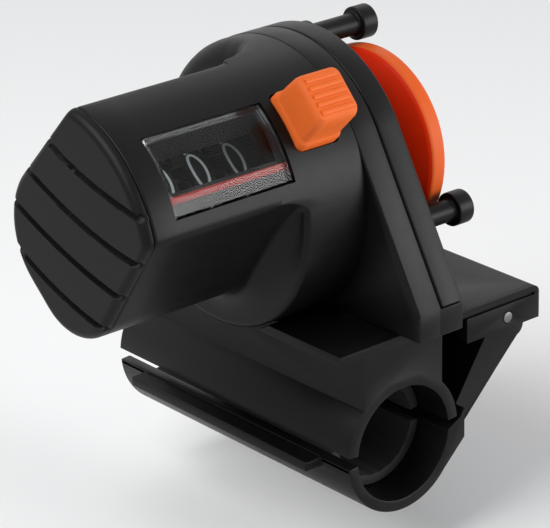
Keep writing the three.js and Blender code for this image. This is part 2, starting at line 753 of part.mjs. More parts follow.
function counterFrame() {
  const reach = boreRadius - fitGap;
  const near = barX(reach, nearPlateLeft, nearPlateRight, sides.barrel);
  const far = prismX(fanOutline(fanWall + fitGap, barrelWall + fitGap), farPlateLeft, farPlateRight);
  const bars = frameBarAngles.map((angle) => barX(frameBarRadius,
    farPlateRight - snugGap, nearPlateLeft + snugGap, sides.pin, polar(frameBarCircle, angle)));
  const shelf = tilt(box(nearPlateRight - snugGap, nearPlateRight + shelfLength,
    -shelfBreadth / 2, shelfBreadth / 2, shelfTop - shelfThickness, shelfTop));
  const stemHole = tilt(solid(new THREE.CylinderGeometry(
    stemRadius + snugGap, stemRadius + snugGap, shelfThickness + 2 * overrun, sides.hub,
  ).rotateX(Math.PI / 2).translate(buttonX, 0, shelfTop - shelfThickness / 2)));
  const through = (radius, place, steps = sides.pin) =>
    barX(radius + snugGap, farPlateLeft - overrun, nearPlateRight + overrun, steps, place);
  const buttonRoom = tilt(box(nearPlateLeft - overrun, nearPlateRight + overrun,
    -skirtBreadth / 2 - fitGap, skirtBreadth / 2 + fitGap, buttonSeat - buttonTravel - fitGap, buttonTop));
  const nearOnly = (radius, place, steps = sides.pin) =>
    barX(radius + snugGap, nearPlateLeft - overrun, nearPlateRight + overrun, steps, place);
  return cut(
    join(near, far, ...bars, shelf),
    nearOnly(drumHub + snugGap, [0, 0], sides.hub),
    barX(drumAxle + snugGap, farPlateLeft - overrun, farPlateRight + overrun, sides.pin),
    through(journalRadius, polar(carryDistance, carryAngle)),
    through(combRadius, polar(combCircle, combAngle)),
    ...[firstAngle, thirdAngle].map((angle) => nearOnly(journalRadius, arborPlace(angle))),
    ...frameScrewPlaces.map((place) => nearOnly(screwRadius, place)),
    stemHole, buttonRoom,
  );
}

// Digit drums

// The reset cam is a heart: its radius grows evenly from the low point to the far side.
function heart(steps = 8) {
  return Array.from({ length: 2 * steps }, (_, i) => {
    const away = 1 - Math.abs(i - steps) / steps;
    return polar(camLow + (camHigh - camLow) * away, fingerTipAngle + (180 * i) / steps);
  });
}

function drum({ ring = true, carry = true }) {
  const [left, right] = [-drumBand / 2, drumBand / 2];
  const camLeft = -camPlane - camWidth / 2;
  const camRight = -camPlane + camWidth / 2;
  const bore = drumAxle + snugGap;
  const wheel = turnedX([
    [bore, camRight], [drumHub, camRight], [drumHub, right - drumWeb],
    [drumRadius - drumRim, right - drumWeb], [drumRadius - drumRim, left],
    [drumRadius, left], [drumRadius, right], [bore, right],
  ], sides.drum);
  const parts = [wheel, prismX(heart(), camLeft, camRight, [circle(bore, sides.hub)])];
  const ringRoot = ringModule * (ringTeeth / 2 - dedendumShare);
  if (ring) {
    const teeth = gearOutline(ringTeeth, ringModule, carryAngle + 180 / ringTeeth);
    const inside = circle(ringRoot - ringDepth, sides.drum);
    parts.push(prismX(teeth, right - snugGap, right + ringWidth, [inside]));
  }
  if (carry) {
    const disc = prismX(circle(carryDisc, sides.drum), left - carryWidth, left + snugGap,
      [circle(carryDisc - carryDiscWall, sides.drum)]);
    const notch = (angle) => {
      const [inner, outer] = [polar(ringRoot + ringDepth, angle), polar(drumRadius, angle)];
      const slot = capsule(inner, outer, (ringModule * addendumShare) / 2, 2);
      return prismX(slot, left - carryWidth - overrun, left - snugGap / 2);
    };
    const half = 180 / ringTeeth;
    parts.push(cut(disc, notch(carryAngle - carryLag - half), notch(carryAngle - carryLag + half)));
  }
  return join(...parts);
}

// A carry pinion: all its leaves reach the ring on its left, every other leaf the disc on its right.
function carryPinion() {
  const towards = carryAngle + 180;
  const leftEnd = -drumPitch + drumBand / 2 + snugGap;
  const middle = -drumPitch + drumBand / 2 + ringWidth + snugGap;
  const hole = [circle(journalRadius + snugGap, sides.pin)];
  const all = gearOutline(carryTeeth, ringModule, towards);
  const alternate = gearOutline(carryTeeth, ringModule, towards + 360 / carryTeeth, 2);
  return join(
    prismX(all, leftEnd, middle, hole),
    prismX(alternate, middle - snugGap, -drumBand / 2 - snugGap, hole),
  );
}

// Gear train

function toothedBody(teeth, toothAngle, from, to, bore = journalRadius) {
  const hole = circle(bore + snugGap, sides.pin);
  return prismX(gearOutline(teeth, gearModule, toothAngle), from, to, [hole]);
}

// A gear with a smaller one on its left. Both are in mesh along the line at the given angle.
function cluster(right, gear, gearMesh, small, smallMesh, left) {
  return join(
    toothedBody(gear, gearMesh + 180 / gear, right - gearWidth, right),
    toothedBody(small, smallMesh, left, right - gearWidth + snugGap / 2),
  );
}

function unitsGear() {
  const hole = circle(drumAxle + snugGap, sides.hub);
  const outline = gearOutline(linkTeeth, gearModule, thirdAngle + 180 / linkTeeth);
  const sleeveEnd = drumPlaces.units + drumBand / 2 + snugGap;
  return join(
    prismX(outline, linkLeft, linkRight, [hole]),
    prismX(circle(drumHub, sides.hub), sleeveEnd, linkLeft + snugGap, [hole]),
  );
}

// Shafts, wheel and posts

function digitShaft() {
  const step = linkRight + snugGap;
  return turnedX([
    [0, farPlateLeft], [drumAxle, farPlateLeft], [drumAxle, step],
    [journalRadius, step], [journalRadius, gearRights[1] + fitGap], [0, gearRights[1] + fitGap],
  ], sides.pin);
}

function wheelShaft() {
  const inner = flangeRight - ringHeight - snugGap;
  const tip = gearRights[0] - gearWidth - 2 * fitGap;
  const shaft = turnedX([
    [0, tip], [journalRadius, tip], [journalRadius, inner],
    [shaftRadius, inner], [shaftRadius, shaftEnd], [0, shaftEnd],
  ], sides.hub);
  const hole = barX(screwRadius + snugGap, shaftEnd - wheelScrewDepth, shaftEnd + overrun, sides.screw);
  return cut(shaft, hole);
}

function lineWheel() {
  const rimRight = rimOffset + rimWidth;
  const bore = shaftRadius + snugGap;
  const rimInner = wheelRadius - rimWall;
  return turnedX([
    [bore, hubStart], [hubRadius, hubStart], [hubRadius, webStart],
    [wheelRadius - rimEdge, rimOffset], [wheelRadius, rimOffset + rimEdge],
    [wheelRadius, rimRight - rimEdge], [wheelRadius - rimEdge, rimRight], [rimInner, rimRight],
    [rimInner, rimOffset + webThickness], [hubRadius, webStart + webThickness],
    [hubRadius, hubEnd], [bore, hubEnd],
  ], sides.wheel);
}

function bush() {
  const outer = shaftRadius + snugGap + bushWall;
  const left = flangeRight - ringHeight;
  return turnedX([
    [shaftRadius + snugGap, left], [outer, left], [outer, snugGap],
    [outer + bushLip, snugGap], [outer + bushLip, bushFlange], [shaftRadius + snugGap, bushFlange],
  ], sides.hub);
}

function guidePost() {
  const headStart = postLength - postHeadLength;
  return turnedX([
    [0, -postTenon], [postTenonRadius, -postTenon], [postTenonRadius, snugGap],
    [postCollarRadius, snugGap], [postCollarRadius, postCollarLength],
    [postRadius, postCollarLength + postCollarRadius - postRadius], [postRadius, headStart],
    [postHeadRadius - postHeadEdge, headStart], [postHeadRadius, headStart + postHeadEdge],
    [postHeadRadius, postLength - postHeadEdge], [postHeadRadius - postHeadEdge, postLength],
    [0, postLength],
  ], sides.hub);
}

// A pan-head screw along X, with its seat at zero and its head to the right.
function screw(length, headRadius = screwHeadRadius, radius = screwRadius) {
  return [
    [0, -length], [radius, -length], [radius, 0], [headRadius, 0],
    [headRadius, screwHeadHeight / 2], [headRadius / 2, screwHeadHeight], [0, screwHeadHeight],
  ];
}

// Rod clip

function clipBase() {
  const top = -plateTop;
  const under = top - plateThickness;
  const round = arc([plateRight - plateEdge, top - plateEdge], plateEdge, 90, 0, 4);
  const plate = prismY([[-plateLeft, under], [-plateLeft, top], ...round, [plateRight, under]],
    -clipHalfLength, clipHalfLength);
  const skirtOutline = [
    [clipSkirtLeft, top], ...round,
    [plateRight, top - clipSkirtDrop], [clipSkirtLeft, top - clipSkirtDrop],
  ];
  const skirts = [-clipHalfLength, clipHalfLength - clipSkirtWall].map((y) =>
    prismY(skirtOutline, y, y + clipSkirtWall));
  const neck = box(rodCentre[0] - neckHalfWidth, rodCentre[0] + neckHalfWidth,
    -clipHalfLength, clipHalfLength, neckRise - rodDrop, top - snugGap);
  const jaw = prismY(sector(jawSeat - overrun, jawOuter, jawSplit, 180 - jawSplit, rodCentre, 12),
    -clipHalfLength, clipHalfLength);
  const slots = [-clipHalfLength - overrun, clipHalfLength - skirtSlot].map((y) =>
    box(0, plateRight + overrun, y, y + skirtSlot + overrun, under, under + skirtSlot));
  const end = clipHalfLength + overrun;
  const [screwRoom, headRoom] = [screwRadius + snugGap, screwHeadRadius + fitGap];
  return cut(
    join(plate, ...skirts, neck, jaw),
    barY(jawSeat, -end, end, sides.drum, rodCentre),
    barX(barrelRadius + fitGap, scoopEnd - fitGap, flangeRight + fitGap, sides.barrel),
    barY(pinRadius + snugGap, -end, end, sides.pin, [pinRight, -pinDrop]),
    ...baseScrewPlaces.map((place) => screwHoleZ(place, screwRoom, -rodDrop, top + overrun)),
    ...baseScrewPlaces.map((place) => screwHoleZ(place, headRoom, -rodDrop, -baseScrewSeat)),
    ...slots,
  );
}

function clipJaw() {
  const pin = [pinRight, -pinDrop];
  const knuckle = arc(pin, knuckleRadius, ...knuckleAngles, 8);
  const tail = arc([tailRight - tailCorner, -tailDrop + tailCorner], tailCorner, ...tailAngles, 4);
  const outline = [
    ...arc(rodCentre, jawOuter, -180 + jawSplit, armAngle, 12),
    ...tail, [tailRight, -tailTop], ...knuckle, [armKneeRight, armKneeRise - rodDrop],
    ...arc(rodCentre, jawSeat, -jawSplit, -180 + jawSplit, 14),
  ];
  const [lipX, lipZ] = polar(jawOuter, 180 + jawSplit, rodCentre);
  const lip = box(lipX - thumbLip, lipX + jawWall / 2, -padHalfLength, padHalfLength,
    lipZ - thumbLipThickness, lipZ);
  const hingeReach = clipHalfLength - clipSkirtWall - fitGap;
  const body = join(prismY(outline, -clipHalfLength, clipHalfLength), lip);
  const trims = [-1, 1].map((side) => box(clipSkirtLeft - fitGap, plateRight + overrun,
    side > 0 ? hingeReach : -clipHalfLength - overrun, side > 0 ? clipHalfLength + overrun : -hingeReach,
    -rodDrop - jawOuter, -plateTop));
  const room = box(pinRight - springZoneWall, tailRight - springZoneWall / 2, -springZone, springZone,
    -pinDrop - springZoneWall, -plateTop);
  return cut(body, ...trims, room,
    barY(pinRadius + snugGap, -clipHalfLength, clipHalfLength, sides.pin, pin));
}

const clipPad = (from, to) => prismY(
  sector(rodHole, rodHole + padThickness, from, to, rodCentre, padFacets), -padHalfLength, padHalfLength);

// The clip's spring: its coil lies on the pin, one leg under the plate and one on the jaw's arm.
function clipSpring() {
  const pin = new THREE.Vector3(pinRight, 0, -pinDrop);
  const half = springZone - clipWire - fitGap;
  const steps = clipTurns * coilSteps + coilSteps / 2;
  const coil = Array.from({ length: steps + 1 }, (_, i) => {
    const share = i / steps;
    const [u, v] = polar(clipCoil, 90 + (360 * i) / coilSteps);
    return new THREE.Vector3(u, -half + 2 * half * share, v).add(pin);
  });
  const first = coil[0].clone().add(new THREE.Vector3(-clipLeg, 0, 0));
  const last = coil[coil.length - 1].clone().add(new THREE.Vector3(-clipLeg / 4, 0, -clipWire));
  return wire([first, ...coil, last], clipWire);
}

// Assembly

piece('housing', housing(), 'black');
piece('side_cover', sideCover(), 'black');
piece('end_cap', endCap(), 'black');
piece('window_bezel', bezel(), 'black');
piece('index_line', indexLine(), 'red');
piece('window_lens', lens(), 'clear');

const buttonLine = new THREE.Group();
buttonLine.position.set(buttonX, 0, 0);
buttonLine.rotation.x = toRadians(90 - buttonTilt);
head.add(buttonLine);
piece('reset_button', resetButton(), 'orange', [0, 0, 0], buttonLine);
piece('button_spring', buttonSpring(), 'steel', [0, 0, 0], buttonLine);
piece('reset_comb', resetComb(), 'black', across(polar(combCircle, combAngle)));

piece('counter_frame', counterFrame(), 'cream');
piece('digit_shaft', digitShaft(), 'steel');
piece('units_drum', drum({ ring: false }), 'black', [drumPlaces.units, 0, 0]);
piece('tens_drum', drum({}), 'black', [drumPlaces.tens, 0, 0]);
piece('hundreds_drum', drum({ carry: false }), 'black', [drumPlaces.hundreds, 0, 0]);
const carryPlace = polar(carryDistance, carryAngle);
piece('carry_shaft', barX(journalRadius, farPlateLeft, nearPlateRight, sides.pin), 'steel', across(carryPlace));
piece('carry_pinion_tens', carryPinion(), 'cream', across(carryPlace, drumPlaces.units));
piece('carry_pinion_hundreds', carryPinion(), 'cream', across(carryPlace, drumPlaces.tens));

const firstPlace = arborPlace(firstAngle);
const thirdPlace = arborPlace(thirdAngle);
const [firstRight, secondRight, thirdRight] = gearRights;
const pinionPast = (right) => right - gearWidth - fitGap;
const drivePinion = toothedBody(pinionTeeth, firstAngle, pinionPast(firstRight), firstRight + fitGap / 2);
const firstGear =
  cluster(firstRight, wheelTeeth, thirdAngle, pinionTeeth, thirdAngle, pinionPast(secondRight));
const secondGear =
  cluster(secondRight, wheelTeeth, firstAngle, pinionTeeth, thirdAngle, pinionPast(thirdRight));
const thirdGear =
  cluster(thirdRight, wheelTeeth, firstAngle, linkTeeth, firstAngle, linkLeft - snugGap);
piece('drive_pinion', drivePinion, 'brass');
piece('first_gear', firstGear, 'cream', across(firstPlace));
piece('second_gear', secondGear, 'cream');
piece('third_gear', thirdGear, 'cream', across(thirdPlace));
piece('units_gear', unitsGear(), 'cream');
const arbor = () => barX(journalRadius, nearPlateLeft, flangeRight + snugGap, sides.pin);
piece('first_arbor', arbor(), 'steel', across(firstPlace));
piece('third_arbor', arbor(), 'steel', across(thirdPlace));

piece('wheel_shaft', wheelShaft(), 'steel');
piece('shaft_bush', bush(), 'brass');
piece('line_wheel', lineWheel(), 'orange');
const wheelScrew = turnedX(screw(wheelScrewDepth - fitGap, wheelScrewHead), sides.hub);
piece('wheel_screw', wheelScrew, 'steel', [hubEnd + snugGap, 0, 0]);
Object.entries(postAngles).forEach(([name, angle]) => {
  piece(`guide_post_${name}`, guidePost(), 'black', across(polar(postCircle, angle)));
});

coverScrewPlaces.forEach((place, i) => {
  const body = turnedX(screw(coverScrewLength), sides.screw);
  piece(`cover_screw_${i + 1}`, body, 'steel', across(place, snugGap));
});
frameScrewPlaces.forEach((place, i) => {
  const body = turnedX(screw(framePlate + fitGap + frameScrewLength - snugGap), sides.screw);
  piece(`frame_screw_${i + 1}`, body, 'steel', across(place, nearPlateRight + snugGap));
});

piece('clip_base', clipBase(), 'black');
baseScrewPlaces.forEach(([x, y], i) => {
  const body = turnedZ(screw(baseScrewLength).map(([radius, along]) => [radius, -along]), sides.screw);
  piece(`base_screw_${i + 1}`, body, 'steel', [x, y, -baseScrewSeat - snugGap]);
});
piece('clip_jaw', clipJaw(), 'black');
const pinEnd = clipHalfLength + snugGap;
piece('clip_pin', barY(pinRadius, -pinEnd, pinEnd, sides.pin, [pinRight, -pinDrop]), 'steel');
piece('clip_spring', clipSpring(), 'steel');
piece('upper_pad', clipPad(padSplit, 180 - padSplit), 'rubber');
piece('lower_pad', clipPad(180 + padSplit, 360 - padSplit), 'rubber');

const counter = new THREE.Group();
counter.add(head);
export default counter;
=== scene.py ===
# %% [markdown]
# A fishing line counter in Blender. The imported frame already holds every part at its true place, in
# metres, with +X towards the line wheel, -Y towards the angler and +Z up from the rod. This script
# dresses that frame: each visible part gets a finer mesh and a finish made from nodes.

# %% Load the frame
import math

import bmesh
import bpy
import numpy as np
from mathutils import Matrix, Vector
from mathutils.geometry import convex_hull_2d


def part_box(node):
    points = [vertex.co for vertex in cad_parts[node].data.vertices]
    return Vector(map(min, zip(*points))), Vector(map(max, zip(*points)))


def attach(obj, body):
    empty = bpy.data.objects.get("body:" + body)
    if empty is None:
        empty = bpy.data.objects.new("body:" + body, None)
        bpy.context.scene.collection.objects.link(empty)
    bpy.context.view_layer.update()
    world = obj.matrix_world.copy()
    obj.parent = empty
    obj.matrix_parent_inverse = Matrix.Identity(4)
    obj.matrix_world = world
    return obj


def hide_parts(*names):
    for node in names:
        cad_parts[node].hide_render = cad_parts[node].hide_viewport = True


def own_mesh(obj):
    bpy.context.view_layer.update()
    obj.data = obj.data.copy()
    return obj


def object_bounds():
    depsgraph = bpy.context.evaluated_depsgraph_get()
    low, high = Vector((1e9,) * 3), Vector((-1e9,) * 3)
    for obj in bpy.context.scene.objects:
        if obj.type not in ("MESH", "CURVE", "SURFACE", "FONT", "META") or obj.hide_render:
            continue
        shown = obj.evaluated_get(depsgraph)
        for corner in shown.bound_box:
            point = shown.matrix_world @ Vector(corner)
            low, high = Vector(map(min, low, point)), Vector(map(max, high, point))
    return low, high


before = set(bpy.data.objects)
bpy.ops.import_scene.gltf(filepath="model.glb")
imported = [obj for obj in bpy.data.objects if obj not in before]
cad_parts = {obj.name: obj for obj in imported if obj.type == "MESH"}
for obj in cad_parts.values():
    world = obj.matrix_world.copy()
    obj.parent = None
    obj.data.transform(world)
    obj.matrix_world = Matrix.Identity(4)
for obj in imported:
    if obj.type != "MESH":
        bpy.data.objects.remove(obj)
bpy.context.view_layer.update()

scene = bpy.context.scene
scene.view_settings.view_transform = "Standard"
print("parts in the frame:", len(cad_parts))

# %% [markdown]
# Most of the counter is built round one line, the barrel's axis, and from one plane, the outside of
# the side cover. So a point is written as (front, up) from that axis and as a distance along X from
# that plane. The sizes are read from the frame's own boxes where a part gives them directly.

# %% Axis, plane and driving sizes
MM = 0.001
cover_box, shaft_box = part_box("side_cover"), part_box("digit_shaft")
cover_face = cover_box[1].x
axis_height = (shaft_box[0].z + shaft_box[1].z) / 2

barrel_radius = 17.7 * MM
barrel_wall, fan_wall = 1.5 * MM, 1.2 * MM
grip_radius, belly_radius = 9.7 * MM, 8 * MM
belly_front, belly_drop = 2 * MM, 4 * MM
ridge_low, ridge_high = 13, 80
flange_left, flange_right = -7.3 * MM, -3.6 * MM
scoop_end, shoulder = -17 * MM, -39.5 * MM
button_tilt = 43


def at(front, up, x):
    """A point of the frame from its place about the barrel's axis and its distance from the cover's face."""
    return Vector((cover_face + x, -front, axis_height + up))


def polar(radius, degrees):
    angle = math.radians(degrees)
    return radius * math.cos(angle), radius * math.sin(angle)


print(f"axis at height {axis_height * 1000:.2f} mm, cover's face at x {cover_face * 1000:.2f} mm")

# %% [markdown]
# Every finish is made from nodes. Moulded plastic is never one flat colour: the mould is spark-eroded,
# so the surface carries a fine grain, and the gloss drifts slowly across it. Two noises do that, one
# slow for colour and gloss, one fine for the bump. Both read Object coordinates, which stay with the part.

# %% Helpers for finishes
def add(tree, kind, inputs=None, **settings):
    """A new node with its settings, and then its constant inputs by name or number."""
    node = tree.nodes.new(kind)
    for name, value in settings.items():
        setattr(node, name, value)
    for name, value in (inputs or {}).items():
        node.inputs[name].default_value = value
    return node


def wire_up(tree, links):
    """Links nodes. Each link names a node, its output, the next node and that node's input."""
    for source, output, target, entry in links:
        tree.links.new(source.outputs[output], target.inputs[entry])


drift_share = 0.12


def moulded(name, colour, spread, gloss, grain, depth, specular=0.25, metallic=0.0, stretch=(1, 1, 1)):
    """A surface with a fine grain of a size in metres, and slower drifts of colour and gloss."""
    material = bpy.data.materials.new(name)
    material.use_nodes = True
    tree = material.node_tree
    shader = tree.nodes["Principled BSDF"]
    shader.inputs["Metallic"].default_value = metallic
    shader.inputs["Specular IOR Level"].default_value = specular
    place = add(tree, "ShaderNodeTexCoord")
    mapping = add(tree, "ShaderNodeMapping", {"Scale": stretch})
    slow = add(tree, "ShaderNodeTexNoise", {"Scale": drift_share / grain, "Detail": 3})
    fine = add(tree, "ShaderNodeTexNoise", {"Scale": 1 / grain, "Detail": 4})
    dark, light = ((*[c * (1 + side * spread) for c in colour], 1) for side in (-1, 1))
    blend = add(tree, "ShaderNodeMix", {"A": dark, "B": light}, data_type="RGBA")
    polish = add(tree, "ShaderNodeMapRange", {"To Min": gloss[0], "To Max": gloss[1]})
    bump = add(tree, "ShaderNodeBump", {"Strength": depth, "Distance": grain})
    wire_up(tree, [
        (place, "Object", mapping, "Vector"), (mapping, "Vector", slow, "Vector"),
        (mapping, "Vector", fine, "Vector"), (slow, "Fac", blend, "Factor"),
        (blend, "Result", shader, "Base Color"), (slow, "Fac", polish, "Value"),
        (polish, "Result", shader, "Roughness"), (fine, "Fac", bump, "Height"),
        (bump, "Normal", shader, "Normal"),
    ])
    return material


# %% Finishes
black = moulded("satin black plastic", (0.004, 0.004, 0.0039), 0.25, (0.32, 0.42), 0.16 * MM, 0.12, 0.12)
black_rough = moulded("black plastic of the window's frame", (0.004, 0.004, 0.0043), 0.2, (0.4, 0.5),
                      0.2 * MM, 0.1, 0.08)
orange = moulded("orange plastic", (0.66, 0.122, 0.021), 0.05, (0.42, 0.52), 0.2 * MM, 0.05, 0.15)
wheel_orange = moulded("orange plastic of the wheel", (0.66, 0.022, 0.002), 0.05, (0.4, 0.5),
                       0.2 * MM, 0.05, 0.06)
# A lighter copy of the wheel's orange for its rim: painted light, the rim lit and the face in shade.
lit_rim_orange = moulded("worn orange of the wheel's rim", (0.62, 0.1, 0.02), 0.05, (0.4, 0.5),
                     0.2 * MM, 0.05, 0.1)
drum_black = moulded("matt black of the drums", (0.006, 0.006, 0.008), 0.2, (0.5, 0.6), 0.15 * MM, 0.05)
digit_white = moulded("white of the digits", (0.86, 0.9, 0.94), 0.04, (0.5, 0.6), 0.1 * MM, 0.03)
line_red = moulded("red of the index line", (0.2, 0.012, 0.01), 0.08, (0.35, 0.45), 0.12 * MM, 0.03, 0.1)
acetal = moulded("off-white acetal", (0.66, 0.63, 0.54), 0.05, (0.38, 0.5), 0.2 * MM, 0.04)
rubber = moulded("black rubber", (0.016, 0.016, 0.016), 0.25, (0.7, 0.85), 0.12 * MM, 0.25, 0.3)
steel = moulded("bright steel", (0.6, 0.61, 0.63), 0.06, (0.22, 0.34), 0.1 * MM, 0.04, metallic=1.0,
                stretch=(0.1, 1, 1))
dull_steel = moulded("dull plated steel", (0.13, 0.13, 0.13), 0.1, (0.4, 0.55), 0.1 * MM, 0.06,
                     metallic=1.0)
brass = moulded("turned brass", (0.72, 0.5, 0.2), 0.06, (0.25, 0.36), 0.1 * MM, 0.04, metallic=1.0,
                stretch=(1, 0.1, 0.1))


def clear_acrylic():
    """Clear plastic, with faint wipe marks in its gloss."""
    material = moulded("clear acrylic", (0.96, 0.98, 0.98), 0.01, (0.02, 0.06), 0.4 * MM, 0.0)
    shader = material.node_tree.nodes["Principled BSDF"]
    shader.inputs["Transmission Weight"].default_value = 1.0
    shader.inputs["IOR"].default_value = 1.18
    return material


clear = clear_acrylic()
print("finishes:", len(bpy.data.materials))

# %% [markdown]
# A few helpers turn lists of points into meshes. Each part is closed, its faces point outwards, and
# it is smooth-shaded except across real edges, so that a moulded curve reads as one surface.

# %% Helpers for meshes
def tidy(mesh, angle=32):
    """Closes doubles, turns the faces outwards and keeps real edges sharp."""
    shape = bmesh.new()
    shape.from_mesh(mesh)
    bmesh.ops.remove_doubles(shape, verts=shape.verts, dist=1e-6)
    bmesh.ops.dissolve_degenerate(shape, edges=shape.edges, dist=1e-7)
    bmesh.ops.recalc_face_normals(shape, faces=shape.faces)
    shape.to_mesh(mesh)
    shape.free()
    mesh.shade_smooth()
    mesh.set_sharp_from_angle(angle=math.radians(angle))


def new_object(name, points, faces):
    mesh = bpy.data.meshes.new(name)
    mesh.from_pydata([tuple(p) for p in points], [], faces)
    piece = bpy.data.objects.new(name, mesh)
    scene.collection.objects.link(piece)
    tidy(mesh)
    return piece


def loft(name, rings, wrap=False):
    """A closed skin through rings of points: the last ring joins the first, or both get a flat lid."""
    count, last = len(rings[0]), len(rings) - 1
    faces = []
    for k in range(len(rings) if wrap else last):
        low, high = k * count, (k + 1) % len(rings) * count
        faces += [(low + i, low + (i + 1) % count, high + (i + 1) % count, high + i) for i in range(count)]
    if not wrap:
        faces += [tuple(range(count)), tuple(range(last * count, (last + 1) * count))]
    return new_object(name, [p for ring in rings for p in ring], faces)


def bake(piece):
    """Applies every modifier of a piece, so that only a plain mesh is left."""
    graph = bpy.context.evaluated_depsgraph_get()
    mesh = bpy.data.meshes.new_from_object(piece.evaluated_get(graph))
    piece.modifiers.clear()
    piece.data = mesh
    return piece


def bevel(piece, width, segments=3, angle=35):
    modifier = piece.modifiers.new("edge", "BEVEL")
    modifier.width, modifier.segments = width, segments
    modifier.limit_method, modifier.angle_limit = "ANGLE", math.radians(angle)
    bake(piece)
    tidy(piece.data)
    return piece


def combine(piece, others, operation="UNION"):
    """Joins other pieces to a piece, or cuts them out of it, and deletes them."""
    for other in others:
        modifier = piece.modifiers.new("shape", "BOOLEAN")
        modifier.operation, modifier.solver, modifier.object = operation, "EXACT", other
        bake(piece)
        bpy.data.objects.remove(other)
    tidy(piece.data)
    return piece


def cut(piece, *others):
    return combine(piece, others, "DIFFERENCE")


def paint(mesh, finish):
    mesh.materials.clear()
    mesh.materials.append(finish)


def finished(piece, body, nodes, finish):
    """Gives a piece its finish, the body it rides on and the frame's parts that it replaces."""
    paint(piece.data, finish)
    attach(piece, body)
    if nodes:
        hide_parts(*nodes)
    print(f"{piece.name}: {len(piece.data.polygons)} faces")


# %% Outlines and turned parts
def arc(centre, radius, start, end, steps):
    places = [polar(radius, start + (end - start) * i / steps) for i in range(steps + 1)]
    return [(centre[0] + front, centre[1] + up) for front, up in places]


def circle(centre, radius, steps):
    return arc(centre, radius, 0, 360, steps)[:-1]


def rounded(points, radii, steps):
    """A closed outline with each corner rounded by its own radius, up to half of its shorter side."""
    result = []
    for i, (corner, radius) in enumerate(zip(points, radii)):
        here = Vector(corner)
        back, ahead = Vector(points[i - 1]) - here, Vector(points[(i + 1) % len(points)]) - here
        opening = back.angle(ahead)
        if radius <= 0 or opening > math.radians(175):
            result.append(tuple(here))
            continue
        reach = min(back.length, ahead.length) * 0.49
        length = min(radius / math.tan(opening / 2), reach)
        start, end = here + back.normalized() * length, here + ahead.normalized() * length
        for k in range(steps + 1):
            t = k / steps
            result.append(tuple((1 - t) ** 2 * start + 2 * t * (1 - t) * here + t ** 2 * end))
    return result


def prism_x(name, outline, low, high):
    """A prism along X of an outline in (front, up)."""
    return loft(name, [[at(front, up, x) for front, up in outline] for x in (low, high)])


def prism_y(name, outline, low, high):
    """A prism along Y of an outline in (x from the cover's face, up from the barrel's axis)."""
    return loft(name, [[at(-y, up, x) for x, up in outline] for y in (low, high)])


def box_of(name, x0, x1, y0, y1, z0, z1):
    return prism_y(name, [(x0, z0), (x1, z0), (x1, z1), (x0, z1)], y0, y1)


def turned(name, profile, steps, centre=(0, 0), start=0.0):
    """A part turned about a line along X. The profile is a list of (radius, distance along X)."""
    rings = [[at(front, up, start + along) for front, up in circle(centre, max(radius, 1e-6), steps)]
             for radius, along in profile]
    return loft(name, rings, wrap=profile[0][0] > 0)


def rod_x(name, radius, low, high, centre=(0, 0), steps=48):
    return prism_x(name, circle(centre, radius, steps), low, high)


print("helpers ready")

# %% [markdown]
# The barrel is round only next to the flange. From the scoops' end wall to the cap its section is a
# fan: an arc between two ridges, and flat flanks down to a smaller round below. The flanks leave a
# hollow for the thumb in front and one for a finger behind, which reaches further towards the flange.
# A block with cutters would do, but its edges stay hard. Here one rule gives the radius at every angle,
# so the whole shell is a grid of rings, with a long soft fillet where a hollow meets its end wall.

# %% The fan's radius at each angle
grid_steps, soften_steps, soften_turn = 1440, 40, 1.3


def fan_radius(degrees, inset=0.0, arc_inset=0.0):
    """The fan's radius: a string drawn tight round an arc and two rounds, with its ridges softened."""
    sources = arc((0, 0), barrel_radius - arc_inset, ridge_low, ridge_high, 80)
    sources += arc((0, 0), grip_radius - inset, 0, 360, 240)
    sources += arc((belly_front, -belly_drop), belly_radius - inset, 0, 360, 240)
    corners = [np.array(sources[i]) for i in convex_hull_2d(sources)]
    shares = np.linspace(0, 1, 60, endpoint=False)[:, None]
    edge = np.vstack([a + (b - a) * shares for a, b in zip(corners, corners[1:] + corners[:1])])
    angles = np.degrees(np.arctan2(edge[:, 1], edge[:, 0])) % 360
    order = np.argsort(angles)
    grid = np.linspace(0, 360, grid_steps, endpoint=False)
    radii = np.interp(grid, angles[order], np.hypot(edge[:, 0], edge[:, 1])[order], period=360)
    offsets = np.arange(-soften_steps, soften_steps + 1) * 360 / grid_steps
    weights = np.exp(-(offsets / soften_turn) ** 2 / 2)
    padded = np.concatenate([radii[-soften_steps:], radii, radii[:soften_steps]])
    softened = np.convolve(padded, weights / weights.sum(), "valid")
    return np.interp(np.asarray(degrees, float) % 360, grid, softened, period=360)


even_turns = np.linspace(0, 360, 320, endpoint=False)
ridge_turns = [np.arange(4, 20, 0.3), np.arange(79, 92, 0.3)]
turns = np.unique(np.concatenate([even_turns, *ridge_turns]).round(3))
print("fan radius from", fan_radius(turns).min() * 1000, "to", fan_radius(turns).max() * 1000, "mm")

# %% End wall of the two hollows
corner_turn, corner_lift, corner_share = 7, 4.2 * MM, 0.98
corner_end, corner_fade = ridge_low + 50, 25
rear_angles = [81, 82, 83, 85, 87, 90, 94, 160, 170, 185, 200, 210]
rear_reach = [reach * MM for reach in (0, 0.2, 1.6, 3.2, 4.0, 4.6, 5.0, 5.0, 4.4, 2.2, 0.5, 0)]
upright = (turns + 90) % 360 - 90
rear_run = np.interp(upright, rear_angles, rear_reach)
corner = np.clip((upright - ridge_low + corner_turn) / corner_turn, 0, 1)
corner = corner * np.clip((corner_end - upright) / corner_fade, 0, 1)
wall_start = scoop_end - corner_lift * (1 - np.sqrt(1 - corner ** 2 * corner_share)) + rear_run
print("end wall from x", wall_start.min() * 1000, "to", wall_start.max() * 1000, "mm")

